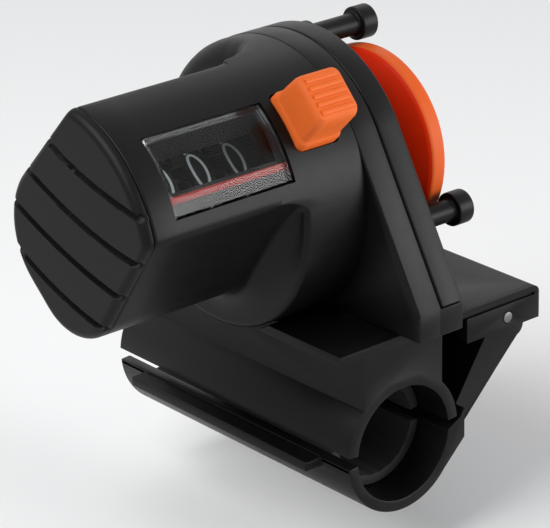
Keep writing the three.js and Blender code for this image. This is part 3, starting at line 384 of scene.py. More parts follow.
# %% Barrel shell
rim_round, least_rim, rear_round = 0.8 * MM, 0.3 * MM, 3 * MM
front_sweep, rear_sweep, sweep_share = 2.4 * MM, 4.6 * MM, 0.75
shallow, mouth_round, rear_wall = 1.2 * MM, 0.4 * MM, 0.5 * MM
ramp_steps = 14


def quarter(steps):
    """A quarter round of radius one, as pairs of a distance along it and what is left of its height."""
    angles = [math.pi / 2 * step / steps for step in range(1, steps + 1)]
    return [(1 - math.cos(angle), 1 - math.sin(angle)) for angle in angles]


def rings_at(angles, rows):
    """Rings round the axis. Each row is its distance along X and its radius, at all the angles."""
    cosines, sines = np.cos(np.radians(angles)), np.sin(np.radians(angles))
    full_rows = [np.broadcast_arrays(along, radius, cosines, sines) for along, radius in rows]
    return [[at(r * c, r * s, x) for x, r, c, s in zip(*row)] for row in full_rows]


def barrel_rows():
    """Rows of the barrel's skin: outside from the cap to the flange, then back along the inside.

    Three weights share out the way a hollow ends at each angle: rear is the long ramp behind, soft the
    faint slope beside a ridge, and plain the round fillet of the front.
    """
    rear = rear_run / max(rear_reach)
    floor = fan_radius(turns)
    drop = np.maximum(barrel_radius - floor, 0)
    soft = np.clip(1 - drop / shallow, 0, 1) * (1 - rear)
    plain = 1 - rear - soft
    rim = np.minimum(rim_round * plain + rear_round * rear, drop / 2)
    rim_run = np.maximum(rim, least_rim)
    sweep = np.minimum(drop * sweep_share, front_sweep) * plain + front_sweep * soft
    sweep = sweep + rear_sweep * rear + 1e-6
    start = wall_start - sweep

    def mixed(front, behind):
        return front * (1 - rear) + behind * rear

    rows = [(shoulder, floor - mouth_round)]
    rows += [(shoulder + mouth_round * along, floor - mouth_round * left) for along, left in quarter(3)]
    mouth = shoulder + mouth_round
    rows += [(mouth + (start - mouth) * share, floor) for share in (0.2, 0.45, 0.7, 0.9, 1.0)]
    ramp = []
    for step in range(1, ramp_steps + 1):
        share, angle = step / ramp_steps, math.pi / 2 * step / ramp_steps
        along = math.sin(angle) * plain + share * (1 - plain)
        rise = (1 - math.cos(angle)) * plain + share ** 0.8 * rear + (3 - 2 * share) * share ** 2 * soft
        ramp.append((start + sweep * along, floor + (drop - rim) * rise))
    rows += ramp
    rows += [(wall_start + rim_run * along, floor + drop - rim * left) for along, left in quarter(6)]
    rim_end = wall_start + rim_run
    rows += [(rim_end + (flange_left - rim_end) * share, floor + drop) for share in (0.3, 1)]
    bore, skin_end = barrel_radius - barrel_wall, flange_right - 0.5 * MM
    rows += [(skin_end, floor + drop), (skin_end, bore)]
    inner = fan_radius(turns, fan_wall, barrel_wall)
    wall_end = np.maximum(wall_start, scoop_end) + barrel_wall
    rows.append((mixed(wall_end, wall_start + 1 * MM), bore))
    for step in range(ramp_steps - 1, 0, -3):
        x, radius = ramp[step]
        radius = mixed(inner + (bore - inner) * step / (ramp_steps - 1), np.clip(radius, inner, bore))
        rows.append((mixed(wall_end, x + rear_wall), radius))
    rows += [(mixed(wall_end, start + rear_wall), inner), (shoulder, inner)]
    return rows


housing = loft("housing_shell", rings_at(turns, barrel_rows()), wrap=True)
print("barrel skin:", len(housing.data.polygons), "faces")

# %% [markdown]
# The flange is a flat plate with a round top on straight flanks, which spread down to the foot that
# the clip is screwed to. It is a tenth of a millimetre proud of the barrel, which gives the fine line
# that shows at its left edge. The window and the button's well are then cut through the wall.

# %% Flange, foot, window opening and well
flank_slope = 29.5
cover_drop, foot_drop = 11.3 * MM, 15 * MM
flange_radius = barrel_radius + 0.08 * MM


def flange_outline(drop):
    front, up = polar(flange_radius, flank_slope)
    reach = front + (up + cover_drop) * math.tan(math.radians(flank_slope))
    top = arc((0, 0), flange_radius, flank_slope, 180 - flank_slope, 60)
    foot = [(-reach, -drop), (reach, -drop)] if drop > cover_drop else []
    return top + [(-reach, -cover_drop)] + foot + [(reach, -cover_drop)]


def sector(inner, outer, low, high):
    return arc((0, 0), outer, low, high, 24) + arc((0, 0), inner, high, low, 24)


def tilted(name, rings):
    """A loft whose rings are (along X, across, height from the axis) on the button's tilted line."""
    cosine, sine = math.cos(math.radians(button_tilt)), math.sin(math.radians(button_tilt))
    return loft(name, [[at(h * cosine + v * sine, h * sine - v * cosine, x) for x, v, h in ring]
                       for ring in rings])


button_x = flange_left - 5.6 * MM


def rounded_ring(length, breadth, corner, height):
    u, v = length / 2 - corner, breadth / 2 - corner
    points = []
    for x, y, start in ((u, v, 0), (-u, v, 90), (-u, -v, 180), (u, -v, 270)):
        points += arc((x, y), corner, start, start + 90, 6)
    return [(button_x + x, y, height) for x, y in points]


window_left, window_right = -35.8 * MM, -18 * MM
window_low, window_high = 20.5, 54
gap_low, gap_high, gap_left, gap_right = 0.7, 0.4, 0.15 * MM, 0.2 * MM
well_length, well_breadth, well_corner = 6.9 * MM, 8.1 * MM, 0.9 * MM

flange = bevel(prism_x("flange", flange_outline(foot_drop), flange_left, flange_right), 0.25 * MM)
foot_reach = flange_outline(foot_drop)[-1][0]
ledge = bevel(box_of("ledge", flange_right - 0.4 * MM, 0, -foot_reach, foot_reach, -foot_drop,
                     -cover_drop - 0.1 * MM), 0.2 * MM)
combine(housing, [flange, ledge])
bore = rod_x("bore", barrel_radius - barrel_wall - 0.05 * MM, flange_left - 1 * MM, flange_right + 1 * MM,
             steps=96)
cut(housing, bore,
    prism_x("opening", sector(13 * MM, 20 * MM, window_low - gap_low, window_high + gap_high),
            window_left - gap_left, window_right + gap_right),
    tilted("well", [rounded_ring(well_length, well_breadth, well_corner, h) for h in (13.2 * MM, 24 * MM)]))
finished(housing, "counter", ["housing", "frame_screw_2"], black)

# %% [markdown]
# The side cover repeats the flange's outline, a hair inside it, so that the seam between the two
# shows as a fine dark line. Its edges are rounded, as a moulding's are.

# %% Side cover
cover = bevel(prism_x("side_cover_plate", flange_outline(cover_drop), flange_right + 0.12 * MM, 0), 0.3 * MM)
cover_screws = [(19.5 * MM, -7.5 * MM), (-19.5 * MM, -7.5 * MM), polar(15 * MM, 80)]
posts = {"rear": polar(15.2 * MM, 104), "front": polar(15.2 * MM, -22)}
bearing_radius, screw_hole, post_hole = 2.65 * MM, 1.0 * MM, 1.3 * MM
inside, outside, post_depth = -5 * MM, 1 * MM, -2.6 * MM
cut(cover, rod_x("bearing", bearing_radius, inside, outside),
    *[rod_x("screw_hole", screw_hole, inside, outside, centre) for centre in cover_screws],
    *[rod_x("post_hole", post_hole, post_depth, outside, centre) for centre in posts.values()])
finished(cover, "counter", ["side_cover"], black)

# %% [markdown]
# The end cap closes the fan. Its face is flat with a soft edge, and four shallow grooves sweep across
# it for grip: each ends in a round end in front and runs out over the edge behind. A polar grid takes
# the grooves as depth, which gives their lips a soft roll that a plain cut would not. The grooves'
# paths are curves of three points, in shares of the barrel's radius.

# %% End cap
cap_end = shoulder - 1.3 * MM
cap_edge, cap_edge_steps = 1.1 * MM, 7
cap_seam = shoulder - 0.1 * MM
plug_gap = 0.3 * MM
groove_half, groove_depth = 0.44 * MM, 0.8 * MM
groove_paths = [
    ((-0.15, 0.75), (0.19, 0.51), (0.93, 0.405)),
    ((-0.39, 0.46), (0.26, 0.125), (0.88, 0.071)),
    ((-0.58, 0.185), (0.06, -0.125), (0.672, -0.225)),
    ((-0.54, -0.16), (-0.07, -0.42), (0.46, -0.51)),
]


def groove_cut(front, up):
    """Depth of the grooves at points of the cap's face."""
    depth = np.zeros_like(front)
    for path in groove_paths:
        a, b, c = (np.array(point) * barrel_radius for point in path)
        points = [(1 - t) ** 2 * a + 2 * t * (1 - t) * b + t ** 2 * c for t in np.linspace(0, 1, 13)]
        for low, high in zip(points, points[1:]):
            run = high - low
            share = np.clip(((front - low[0]) * run[0] + (up - low[1]) * run[1]) / run.dot(run), 0, 1)
            away = np.hypot(front - low[0] - share * run[0], up - low[1] - share * run[1]) / groove_half
            depth = np.maximum(depth, np.maximum(1 - away ** 2, 0) ** 0.75)
    return depth * groove_depth


def cap_rows(angles):
    """Rows of the cap's skin: the grooved face from its middle, the soft edge, the seam and the plug."""
    reach = fan_radius(angles)
    face = [((reach - cap_edge) * share, 0, 1) for share in np.linspace(0.004, 1, 120)]
    face += [(reach - cap_edge * left, cap_edge * along, 1 - (step + 1) / (cap_edge_steps + 1))
             for step, (along, left) in enumerate(quarter(cap_edge_steps))]
    cosines, sines = np.cos(np.radians(angles)), np.sin(np.radians(angles))
    rows = [(cap_end + rise + groove_cut(radius * cosines, radius * sines) * share, radius)
            for radius, rise, share in face]
    plug = fan_radius(angles, fan_wall + plug_gap, barrel_wall + plug_gap)
    rows += [(cap_seam - 0.1 * MM, reach), (cap_seam, reach - 0.1 * MM), (cap_seam, plug)]
    return rows + [(shoulder + 1.9 * MM, plug)]


cap_angles = np.linspace(0, 360, 640, endpoint=False)
cap = loft("end_cap_moulding", rings_at(cap_angles, cap_rows(cap_angles)))
finished(cap, "counter", ["end_cap"], black)

# %% [markdown]
# The window has three parts. A black frame lines the opening, and its upper wall leans in, so that the
# drums get light from above. A red line marks the reading on its lower sill. A clear curved pane closes
# it flush with the barrel. All three are lofts of rings round the barrel's axis.

# %% Window frame
pane, pane_gap = 0.9 * MM, 0.15 * MM
seat = barrel_radius - pane - pane_gap
frame_floor, frame_width, frame_lean = 14.6 * MM, 0.9 * MM, 5.6


def turn_of(length):
    """The angle that a length takes round the barrel."""
    return math.degrees(length / barrel_radius)


sill, brow = window_low + turn_of(3 * MM), window_high - 1.7
pane_left, pane_right = window_left + pane_gap, window_right - pane_gap
pane_low, pane_high = window_low + turn_of(pane_gap), window_high - turn_of(pane_gap)


def frame_ring(x0, x1, low, high, radius, steps=16):
    """A ring of points round a window at one radius: two sides round the barrel, two along it."""
    corners = [(low, x1), (high, x1), (high, x0), (low, x0)]
    return [at(*polar(radius, angle + (next_angle - angle) * i / steps), x + (next_x - x) * i / steps)
            for (angle, x), (next_angle, next_x) in zip(corners, corners[1:] + corners[:1])
            for i in range(steps)]


inner_sides = pane_left + frame_width, pane_right - frame_width
window_frame = loft("window_frame", [
    frame_ring(pane_left, pane_right, pane_low, pane_high, seat),
    frame_ring(*inner_sides, sill, brow, seat),
    frame_ring(*inner_sides, sill, brow - frame_lean, frame_floor),
    frame_ring(pane_left, pane_right, pane_low, pane_high - frame_lean, frame_floor),
], wrap=True)
finished(window_frame, "counter", ["window_bezel"], black_rough)

# %% Index line and pane
line_high = sill - turn_of(0.5 * MM)
line_low = line_high - turn_of(0.9 * MM)
index_line = prism_x("red_index_line", sector(seat + 0.02 * MM, seat + 0.12 * MM, line_low, line_high),
                     window_left + 0.35 * MM, window_right - 0.35 * MM)
finished(index_line, "counter", ["index_line"], line_red)


def pane_rings(edge, steps):
    """The pane's section, with its edges taken off, at even angles round the barrel."""
    inner, outer = barrel_radius - pane, barrel_radius
    section = [(pane_left, inner), (pane_right, inner), (pane_right, outer - edge)]
    section += [(pane_right - edge, outer), (pane_left + edge, outer), (pane_left, outer - edge)]
    return [[at(*polar(radius, pane_low + (pane_high - pane_low) * i / steps), x) for x, radius in section]
            for i in range(steps + 1)]


window_pane = loft("window_pane", pane_rings(0.12 * MM, 64))
finished(window_pane, "counter", ["window_lens"], clear)

# %% [markdown]
# Each drum carries the digits 0 to 9, printed tall and narrow with a thin stroke. A font would bring
# its own shapes, so they are drawn here as strokes: a stroke is a row of points in a box one wide and
# one high. Its points are then laid round the drum, as a thin ribbon with closed sides.

# %% Digits as strokes
def oval(cx, cy, rx, ry, start=90, end=450, steps=40):
    return [(cx + rx * x, cy + ry * y) for x, y in arc((0, 0), 1, start, end, steps)]


digit_strokes = {
    0: [oval(0, 0, 0.5, 0.5)],
    1: [[(-0.3, 0.28), (0.02, 0.5), (0.02, -0.5)]],
    2: [oval(0, 0.22, 0.48, 0.28, 170, -20, 24) + [(-0.5, -0.5), (0.5, -0.5)]],
    3: [oval(0, 0.25, 0.45, 0.25, 150, -80, 24), oval(0, -0.24, 0.5, 0.26, 80, -150, 28)],
    4: [[(0.22, -0.5), (0.22, 0.5), (-0.5, -0.2), (0.5, -0.2)]],
    5: [[(0.42, 0.5), (-0.36, 0.5), (-0.42, 0.06)] + oval(-0.02, -0.18, 0.5, 0.32, 130, -150, 28)],
    6: [oval(0, -0.2, 0.5, 0.3), oval(0.3, -0.2, 0.8, 0.7, 90, 180, 20)],
    7: [[(-0.5, 0.5), (0.5, 0.5), (-0.12, -0.5)]],
    8: [oval(0, 0.25, 0.42, 0.25), oval(0, -0.24, 0.5, 0.26)],
    9: [oval(0, 0.2, 0.5, 0.3), oval(-0.3, 0.2, 0.8, 0.7, 270, 360, 20)],
}
drum_radius = 8.2 * MM
digit_width, digit_height, stroke = 1.9 * MM, 4.7 * MM, 0.39 * MM
digit_angle, digit_turn = 46.6, 36
ink_under, ink_over = 0.03 * MM, 0.02 * MM


def ribbon(points, half):
    """The two edges of a stroke of even width through points."""
    left, right = [], []
    for i, point in enumerate(points):
        before, after = Vector(points[max(i - 1, 0)]), Vector(points[min(i + 1, len(points) - 1)])
        heading = (after - before).normalized()
        side = Vector((-heading.y, heading.x)) * half
        left.append(Vector(point) + side)
        right.append(Vector(point) - side)
    return left, right


def smoothed(points, spacing):
    """Points along a stroke no further apart than the spacing."""
    result = [points[0]]
    for a, b in zip(points, points[1:]):
        count = max(1, math.ceil((Vector(b) - Vector(a)).length / spacing))
        result += [tuple(Vector(a).lerp(Vector(b), k / count)) for k in range(1, count + 1)]
    return result


def digits(name, centre_x):
    """All ten digits of a drum as one thin mesh."""
    points, faces = [], []
    for value, strokes in digit_strokes.items():
        for path in strokes:
            sized = smoothed([(x * digit_width, y * digit_height) for x, y in path], 0.3 * MM)
            left, right = ribbon(sized, stroke / 2)
            start = len(points)
            for radius in (drum_radius - ink_under, drum_radius + ink_over):
                for edge in (left, right):
                    for u, v in edge:
                        turn = digit_angle - digit_turn * value + math.degrees(v / drum_radius)
                        points.append(at(*polar(radius, turn), centre_x + u))
            n = len(sized)
            corners = [start, start + n, start + 3 * n, start + 2 * n]
            sides = list(zip(corners, corners[1:] + corners[:1]))
            for i in range(n - 1):
                faces += [(a + i, b + i, b + i + 1, a + i + 1) for a, b in sides]
            faces += [tuple(corners), tuple(c + n - 1 for c in reversed(corners))]
    return new_object(name, points, faces)


print("strokes:", sum(len(strokes) for strokes in digit_strokes.values()))

# %% Drums
drum_places = {"units": -18.1 * MM, "tens": -23.7 * MM, "hundreds": -29.3 * MM}
half_band, band_depth, band_edge = 1.65 * MM, 0.6 * MM, 0.1 * MM
band_top = drum_radius + 0.01 * MM
band_side = [(drum_radius - band_depth, half_band), (drum_radius - band_edge, half_band),
             (band_top, half_band - band_edge)]
band_profile = [(radius, -along) for radius, along in band_side] + band_side[::-1]
for drum_name, middle in drum_places.items():
    sleeve = turned(f"{drum_name}_drum_band", band_profile, 96, start=middle)
    finished(sleeve, drum_name, [], drum_black)
    finished(digits(f"{drum_name}_digits", middle), drum_name, [], digit_white)
    paint(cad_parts[f"{drum_name}_drum"].data, drum_black)

# %% [markdown]
# The reset button is a wedge-like block with ribs moulded across its top, on a skirt that fills the
# well. It is lofted through rounded rectangles, and the ribs repeat, so Geometry Nodes lay them: one
# rounded bar is instanced on a row of points.

# %% Button body
button_top = 23.7 * MM
lip = barrel_radius + 0.9 * MM
button_sections = [
    (6.5, 7.7, 0.9, 16.6 * MM), (6.5, 7.7, 0.9, lip - 0.5 * MM), (6.4, 7.5, 0.9, lip - 0.15 * MM),
    (6.3, 7.2, 0.9, lip), (6.3, 7.0, 0.9, lip + 0.2 * MM), (6.4, 6.9, 0.9, 20.5 * MM),
    (6.5, 6.7, 0.9, button_top - 1.1 * MM), (6.4, 6.5, 1.0, button_top - 0.6 * MM),
    (6.1, 6.2, 1.0, button_top - 0.2 * MM), (5.6, 5.7, 1.0, button_top),
]
button = tilted("reset_button_cap", [rounded_ring(length * MM, breadth * MM, corner * MM, height)
                                     for length, breadth, corner, height in button_sections])
print("button sections:", len(button_sections))


# %% Ribs by Geometry Nodes
def new_tree(name, **inputs):
    """An empty Geometry Nodes tree, the identifiers of its named inputs, and the node that gives them."""
    tree = bpy.data.node_groups.new(name, "GeometryNodeTree")
    tree.interface.new_socket("Geometry", in_out="INPUT", socket_type="NodeSocketGeometry")
    tree.interface.new_socket("Geometry", in_out="OUTPUT", socket_type="NodeSocketGeometry")
    names = {}
    for word, kind in inputs.items():
        label = word.replace("_", " ")
        socket = tree.interface.new_socket(label, in_out="INPUT", socket_type=f"NodeSocket{kind}")
        names[word] = socket.identifier
    return tree, names, add(tree, "NodeGroupInput")


def end_tree(tree, last, output, finish):
    """Ends a tree in Realize Instances and Set Material."""
    real = add(tree, "GeometryNodeRealizeInstances")
    material = add(tree, "GeometryNodeSetMaterial", {"Material": finish})
    out = add(tree, "NodeGroupOutput")
    wire_up(tree, [(last, output, real, "Geometry"), (real, "Geometry", material, "Geometry"),
                   (material, "Geometry", out, "Geometry")])


def grow(name, tree, names, seats=(), **values):
    """Runs a tree with the given sizes, on points if it needs them, and keeps a plain mesh."""
    host = bpy.data.objects.new(name, bpy.data.meshes.new(name))
    host.data.from_pydata([tuple(point) for point in seats], [], [])
    scene.collection.objects.link(host)
    modifier = host.modifiers.new("grow", "NODES")
    modifier.node_group = tree
    for word, value in values.items():
        modifier[names[word]] = value
    bake(host)
    host.name = name
    return host


def moved(piece, matrix):
    """Moves the points of a grown piece to their place, so that the object stays at the origin."""
    piece.data.transform(matrix)
    tidy(piece.data)
    return piece


def rib_tree():
    tree, names, size = new_tree("ribs across the button", Count="Int", Spacing="Float", Length="Float",
                                 Width="Float")
    row = add(tree, "GeometryNodeMeshLine")
    step, low, high = (add(tree, "ShaderNodeCombineXYZ") for _ in range(3))
    bar = add(tree, "GeometryNodeCurvePrimitiveLine")
    half = add(tree, "ShaderNodeMath", {1: 2}, operation="DIVIDE")
    back = add(tree, "ShaderNodeMath", {1: -1}, operation="MULTIPLY")
    section = add(tree, "GeometryNodeCurvePrimitiveCircle", {"Resolution": 20})
    sweep = add(tree, "GeometryNodeCurveToMesh", {"Fill Caps": True})
    place = add(tree, "GeometryNodeInstanceOnPoints")
    wire_up(tree, [
        (size, "Count", row, "Count"), (size, "Spacing", step, "Y"), (step, 0, row, "Offset"),
        (size, "Length", half, 0), (half, 0, high, "X"), (half, 0, back, 0), (back, 0, low, "X"),
        (low, 0, bar, "Start"), (high, 0, bar, "End"), (size, "Width", section, "Radius"),
        (bar, "Curve", sweep, "Curve"), (section, "Curve", sweep, "Profile Curve"),
        (row, "Mesh", place, "Points"), (sweep, "Mesh", place, "Instance"),
    ])
    end_tree(tree, place, "Instances", orange)
    return tree, names


def tilt_matrix(height, offset=0.0):
    """Moves what is built about Z at the origin onto the button's tilted line."""
    turn = Matrix.Rotation(math.radians(90 - button_tilt), 4, "X")
    return Matrix.Translation(at(0, 0, button_x)) @ turn @ Matrix.Translation((0, offset, height))


rib_nodes = rib_tree()
rib_count, rib_spacing = 5, 1.08 * MM
ribs = grow("button_ribs", *rib_nodes, Count=rib_count, Spacing=rib_spacing, Length=5.0 * MM,
            Width=0.42 * MM)
combine(button, [moved(ribs, tilt_matrix(button_top - 0.18 * MM, -rib_spacing * (rib_count - 1) / 2))])
finished(button, "button", ["reset_button"], orange)

# %% [markdown]
# The button's return spring is a coil of steel wire that stands under it, and the clip has a second one
# round its pin. A coil follows a path, so a tree sweeps a small circle along a spiral.

# %% Springs by Geometry Nodes
def spring_tree():
    tree, names, size = new_tree("coil spring", Turns="Float", Coil_radius="Float", Height="Float",
                                 Wire_radius="Float")
    coil = add(tree, "GeometryNodeCurveSpiral", {"Resolution": 32})
    section = add(tree, "GeometryNodeCurvePrimitiveCircle", {"Resolution": 10})
    sweep = add(tree, "GeometryNodeCurveToMesh", {"Fill Caps": True})
    wire_up(tree, [
        (size, "Turns", coil, "Rotations"), (size, "Coil radius", coil, "Start Radius"),
        (size, "Coil radius", coil, "End Radius"), (size, "Height", coil, "Height"),
        (size, "Wire radius", section, "Radius"), (coil, "Curve", sweep, "Curve"),
        (section, "Curve", sweep, "Profile Curve"),
    ])
    end_tree(tree, sweep, "Mesh", steel)
    return tree, names


spring_nodes = spring_tree()
spring_low, spring_foot_height = 13.45 * MM, 13.3 * MM
button_spring = grow("button_return_spring", *spring_nodes, Turns=3.0, Coil_radius=1.7 * MM,
                     Height=2.9 * MM, Wire_radius=0.15 * MM)
moved(button_spring, tilt_matrix(spring_low))
finished(button_spring, "counter", ["button_spring"], steel)
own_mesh(button_spring)

# %% [markdown]
# The line wheel is a flared disc with a rounded rim, dished towards the cover. It turns with a steel
# shaft in a brass bush, and a screw holds it on. A lathe would make such a part, so it is one profile
# turned about the axis. Its rim has a lighter orange than its face: painted light, the rim lit and the
# face in shade. The two black posts beside it keep the line from jumping off: each has a collar at the
# cover, a plain shank and a wider head.

# %% Line wheel
def rounded_profile(sections, steps):
    """A turned part's profile from its corners: radius, distance along X and rounding in millimetres."""
    return rounded([(radius * MM, along * MM) for radius, along, _ in sections],
                   [corner * MM for _, _, corner in sections], steps)


wheel_sections = [
    (1.6, 1.4, 0), (3.4, 1.4, 0.3), (3.4, 2.6, 0.8), (12.3, 7.95, 0.9), (12.75, 8.4, 0.8),
    (12.75, 10.2, 0.7), (12.2, 10.75, 0.5), (11.25, 10.75, 0.4), (10.9, 9.6, 0.6), (3.4, 4.3, 0.8),
    (3.4, 9.6, 0.3), (1.6, 9.6, 0),
]
# The radius beyond which the rim's faces take the lighter orange of painted light.
lit_rim_start = 12.6 * MM
wheel = turned("line_wheel_turned", rounded_profile(wheel_sections, 6), 128)
finished(wheel, "wheel", ["line_wheel"], wheel_orange)
# The rim gets the lighter orange as painted light; the face keeps the darker orange.
wheel.data.materials.append(lit_rim_orange)
for face in wheel.data.polygons:
    from_axis = math.hypot(face.center.z - axis_height, face.center.y)
    face.material_index = int(from_axis > lit_rim_start)

# %% Guide posts
post_corners = [(1.2, -2.4), (1.2, 0.1), (2.1, 0.1), (2.1, 2.2), (1.45, 2.6), (1.45, 9.65), (2.2, 9.65),
                (2.2, 12.1)]
post_sections = [(0, -2.4, 0), *[(radius, along, 0.25) for radius, along in post_corners], (0, 12.1, 0)]
for side, centre in posts.items():
    post = turned(f"line_post_{side}", rounded_profile(post_sections, 4), 64, centre)
    finished(post, "counter", [f"guide_post_{side}"], black)

# %% [markdown]
# The screws are pan-head ones with a cross recess. They are all alike but for their sizes, so one tree
# makes them: a head with two crossed bars cut out, a shank below it, and one copy on each seat.

# %% Screws by Geometry Nodes
def screw_tree():
    tree, names, size = new_tree("pan-head screws", Head_radius="Float", Head_height="Float",
                                 Shank_radius="Float", Shank_length="Float", Slot_width="Float",
                                 Turn="Vector")
    head = add(tree, "GeometryNodeMeshCylinder", {"Vertices": 40})
    shank = add(tree, "GeometryNodeMeshCylinder", {"Vertices": 24})
    rise = add(tree, "ShaderNodeMath", {1: 2}, operation="DIVIDE")
    drop = add(tree, "ShaderNodeMath", {1: -2}, operation="DIVIDE")
    rise_to, drop_to, lift = (add(tree, "ShaderNodeCombineXYZ") for _ in range(3))
    slots = [add(tree, "ShaderNodeCombineXYZ") for _ in range(2)]
    bars = [add(tree, "GeometryNodeMeshCube") for _ in range(2)]
    lifted = [add(tree, "GeometryNodeTransform") for _ in range(2)]
    move_head, move_shank = (add(tree, "GeometryNodeTransform") for _ in range(2))
    carve = add(tree, "GeometryNodeMeshBoolean", operation="DIFFERENCE", solver="EXACT")
    whole = add(tree, "GeometryNodeMeshBoolean", operation="UNION", solver="EXACT")
    place = add(tree, "GeometryNodeInstanceOnPoints")
    wire_up(tree, [
        (size, "Head radius", head, "Radius"), (size, "Head height", head, "Depth"),
        (size, "Shank radius", shank, "Radius"), (size, "Shank length", shank, "Depth"),
        (size, "Head height", rise, 0), (rise, 0, rise_to, "Z"),
        (size, "Shank length", drop, 0), (drop, 0, drop_to, "Z"), (size, "Head height", lift, "Z"),
        (head, "Mesh", move_head, "Geometry"), (rise_to, 0, move_head, "Translation"),
        (shank, "Mesh", move_shank, "Geometry"), (drop_to, 0, move_shank, "Translation"),
        (move_head, "Geometry", carve, "Mesh 1"),
    ])
    for slot, bar, raised, sides in zip(slots, bars, lifted, ("XY", "YX")):
        wire_up(tree, [
            (size, "Head radius", slot, sides[0]), (size, "Slot width", slot, sides[1]),
            (size, "Head height", slot, "Z"), (slot, 0, bar, "Size"), (bar, "Mesh", raised, "Geometry"),
            (lift, 0, raised, "Translation"), (raised, "Geometry", carve, "Mesh 2"),
        ])
    wire_up(tree, [
        (carve, "Mesh", whole, "Mesh 2"), (move_shank, "Geometry", whole, "Mesh 2"),
        (size, "Geometry", place, "Points"), (whole, "Mesh", place, "Instance"),
        (size, "Turn", place, "Rotation"),
    ])
    end_tree(tree, place, "Instances", steel)
    return tree, names


screw_nodes = screw_tree()


def screws(name, seats, turn, head_radius, length, nodes, body="counter"):
    """Screws with their seats at the given points, turned from +Z by the given angles."""
    host = grow(name, *screw_nodes, seats, Head_radius=head_radius, Head_height=0.85 * MM,
                Shank_radius=0.9 * MM, Shank_length=length, Slot_width=0.42 * MM,
                Turn=[math.radians(angle) for angle in turn])
    finished(bevel(host, 0.15 * MM, 2, 50), body, nodes, steel)


screws("cover_screws", [at(*centre, 0.1 * MM) for centre in cover_screws], (0, 90, 0), 1.7 * MM, 6 * MM,
       ["cover_screw_1", "cover_screw_2", "cover_screw_3"])
screws("wheel_fixing_screw", [at(0, 0, 9.7 * MM)], (0, 90, 0), 2.6 * MM, 3.7 * MM, ["wheel_screw"], "wheel")
base_seats = [at(-y, -20.1 * MM, -4.5 * MM) for y in (-20 * MM, 20 * MM)]
screws("base_screws", base_seats, (180, 0, 0), 1.7 * MM, 7.5 * MM, ["base_screw_1", "base_screw_2"])

# %% [markdown]
# The clip is two mouldings on a steel pin. The upper one is a plate with a rounded right edge, two
# short skirts that hold the pin, and a half-round jaw on a neck. The lower one swings: its arm runs
# from the pin round under the rod. Both jaws are lined with ribbed rubber.

# %% Clip sizes
rod = (-6.2 * MM, -30 * MM)
clip_half = 22.8 * MM
plate_top, plate_under = -15.3 * MM, -16.5 * MM
plate_left, plate_right = -16.5 * MM, 17.2 * MM
jaw_inner, jaw_outer = 7.6 * MM, 9.1 * MM
pin_place = (11.7 * MM, -18.3 * MM)
print("rod's middle below the axis:", rod[1] * 1000, "mm")

# %% Upper moulding of the clip
skirt_left, skirt_drop, skirt_wall = 4.6 * MM, -19.8 * MM, 1.4 * MM
edge_round = 1 * MM
neck_half, neck_depth = 6.5 * MM, 9 * MM
hole_radius, through = 0.85 * MM, clip_half + 1 * MM
slot_depth, slot_end = 0.4 * MM, plate_right - 0.8 * MM
top_round = arc((plate_right - edge_round, plate_top - edge_round), edge_round, 90, 0, 10)
plate = prism_y("clip_base_moulding", [(plate_left, plate_under), (plate_left, plate_top), *top_round,
                                       (plate_right, plate_under)], -clip_half, clip_half)
skirts = [prism_y("skirt", [(skirt_left, plate_top - 0.05 * MM), *top_round, (plate_right, skirt_drop),
                            (skirt_left, skirt_drop)], low, low + skirt_wall)
          for low in (-clip_half, clip_half - skirt_wall)]
neck = box_of("neck", rod[0] - neck_half, rod[0] + neck_half, -clip_half + 0.01 * MM, clip_half - 0.01 * MM,
              plate_under - neck_depth, plate_top - 0.1 * MM)
upper_jaw = prism_y("upper_jaw", arc(rod, jaw_outer, 5, 175, 40) + arc(rod, jaw_inner - 1 * MM, 175, 5, 40),
                    -clip_half + 0.005 * MM, clip_half - 0.005 * MM)
combine(plate, [*skirts, neck, upper_jaw])
seat_cut = prism_y("seat", circle(rod, jaw_inner, 64), -through, through)
pin_hole = prism_y("pin_hole", circle(pin_place, hole_radius, 32), -through, through)
cradle = rod_x("cradle", barrel_radius + 0.3 * MM, scoop_end - 0.3 * MM, flange_right + 0.3 * MM, steps=96)
slots = [box_of("slot", 0, slot_end, low, low + skirt_wall, plate_under, plate_under + slot_depth)
         for low in (-through, clip_half - 0.4 * MM)]
cut(plate, seat_cut, pin_hole, cradle, *slots)
bevel(plate, 0.18 * MM, 2, 50)
finished(plate, "counter", ["clip_base"], black)

# %% Lower moulding of the clip
knuckle = arc(pin_place, 1.5 * MM, 20, 215, 16)
tail_corner = arc((14.6 * MM, -20.8 * MM), 1.6 * MM, -70, 0, 8)
jaw = prism_y("clip_jaw_moulding", [
    *arc(rod, jaw_outer, -175, -40, 40), *tail_corner, (16.2 * MM, -19.9 * MM), *knuckle,
    (3.6 * MM, -29.5 * MM), *arc(rod, jaw_inner, -5, -175, 40)], -clip_half, clip_half)
arm_half, trim_width, room_half = 21.1 * MM, 3 * MM, 7 * MM
trim_left, trim_right, under, over = 4.3 * MM, 18.2 * MM, -40 * MM, -15 * MM
room_left, room_right, room_floor = 9.1 * MM, 14.9 * MM, -20.9 * MM
lip_out, lip_in, lip_half = 2.4 * MM, 0.75 * MM, 17.5 * MM
lip_low, lip_high = -32.2 * MM, -30.8 * MM
trims = [box_of("trim", trim_left, trim_right, low, low + trim_width, under, over)
         for low in (-arm_half - trim_width, arm_half)]
room = box_of("spring_room", room_left, room_right, -room_half, room_half, room_floor, over)
jaw_pin_hole = prism_y("jaw_pin_hole", circle(pin_place, hole_radius, 32), -clip_half, clip_half)
jaw_left = rod[0] - jaw_outer
thumb = box_of("thumb_lip", jaw_left - lip_out, jaw_left + lip_in, -lip_half, lip_half, lip_low, lip_high)
combine(jaw, [bevel(thumb, 0.3 * MM)])
cut(jaw, *trims, room, jaw_pin_hole)
bevel(jaw, 0.18 * MM, 2, 50)
finished(jaw, "jaw", ["clip_jaw"], black)

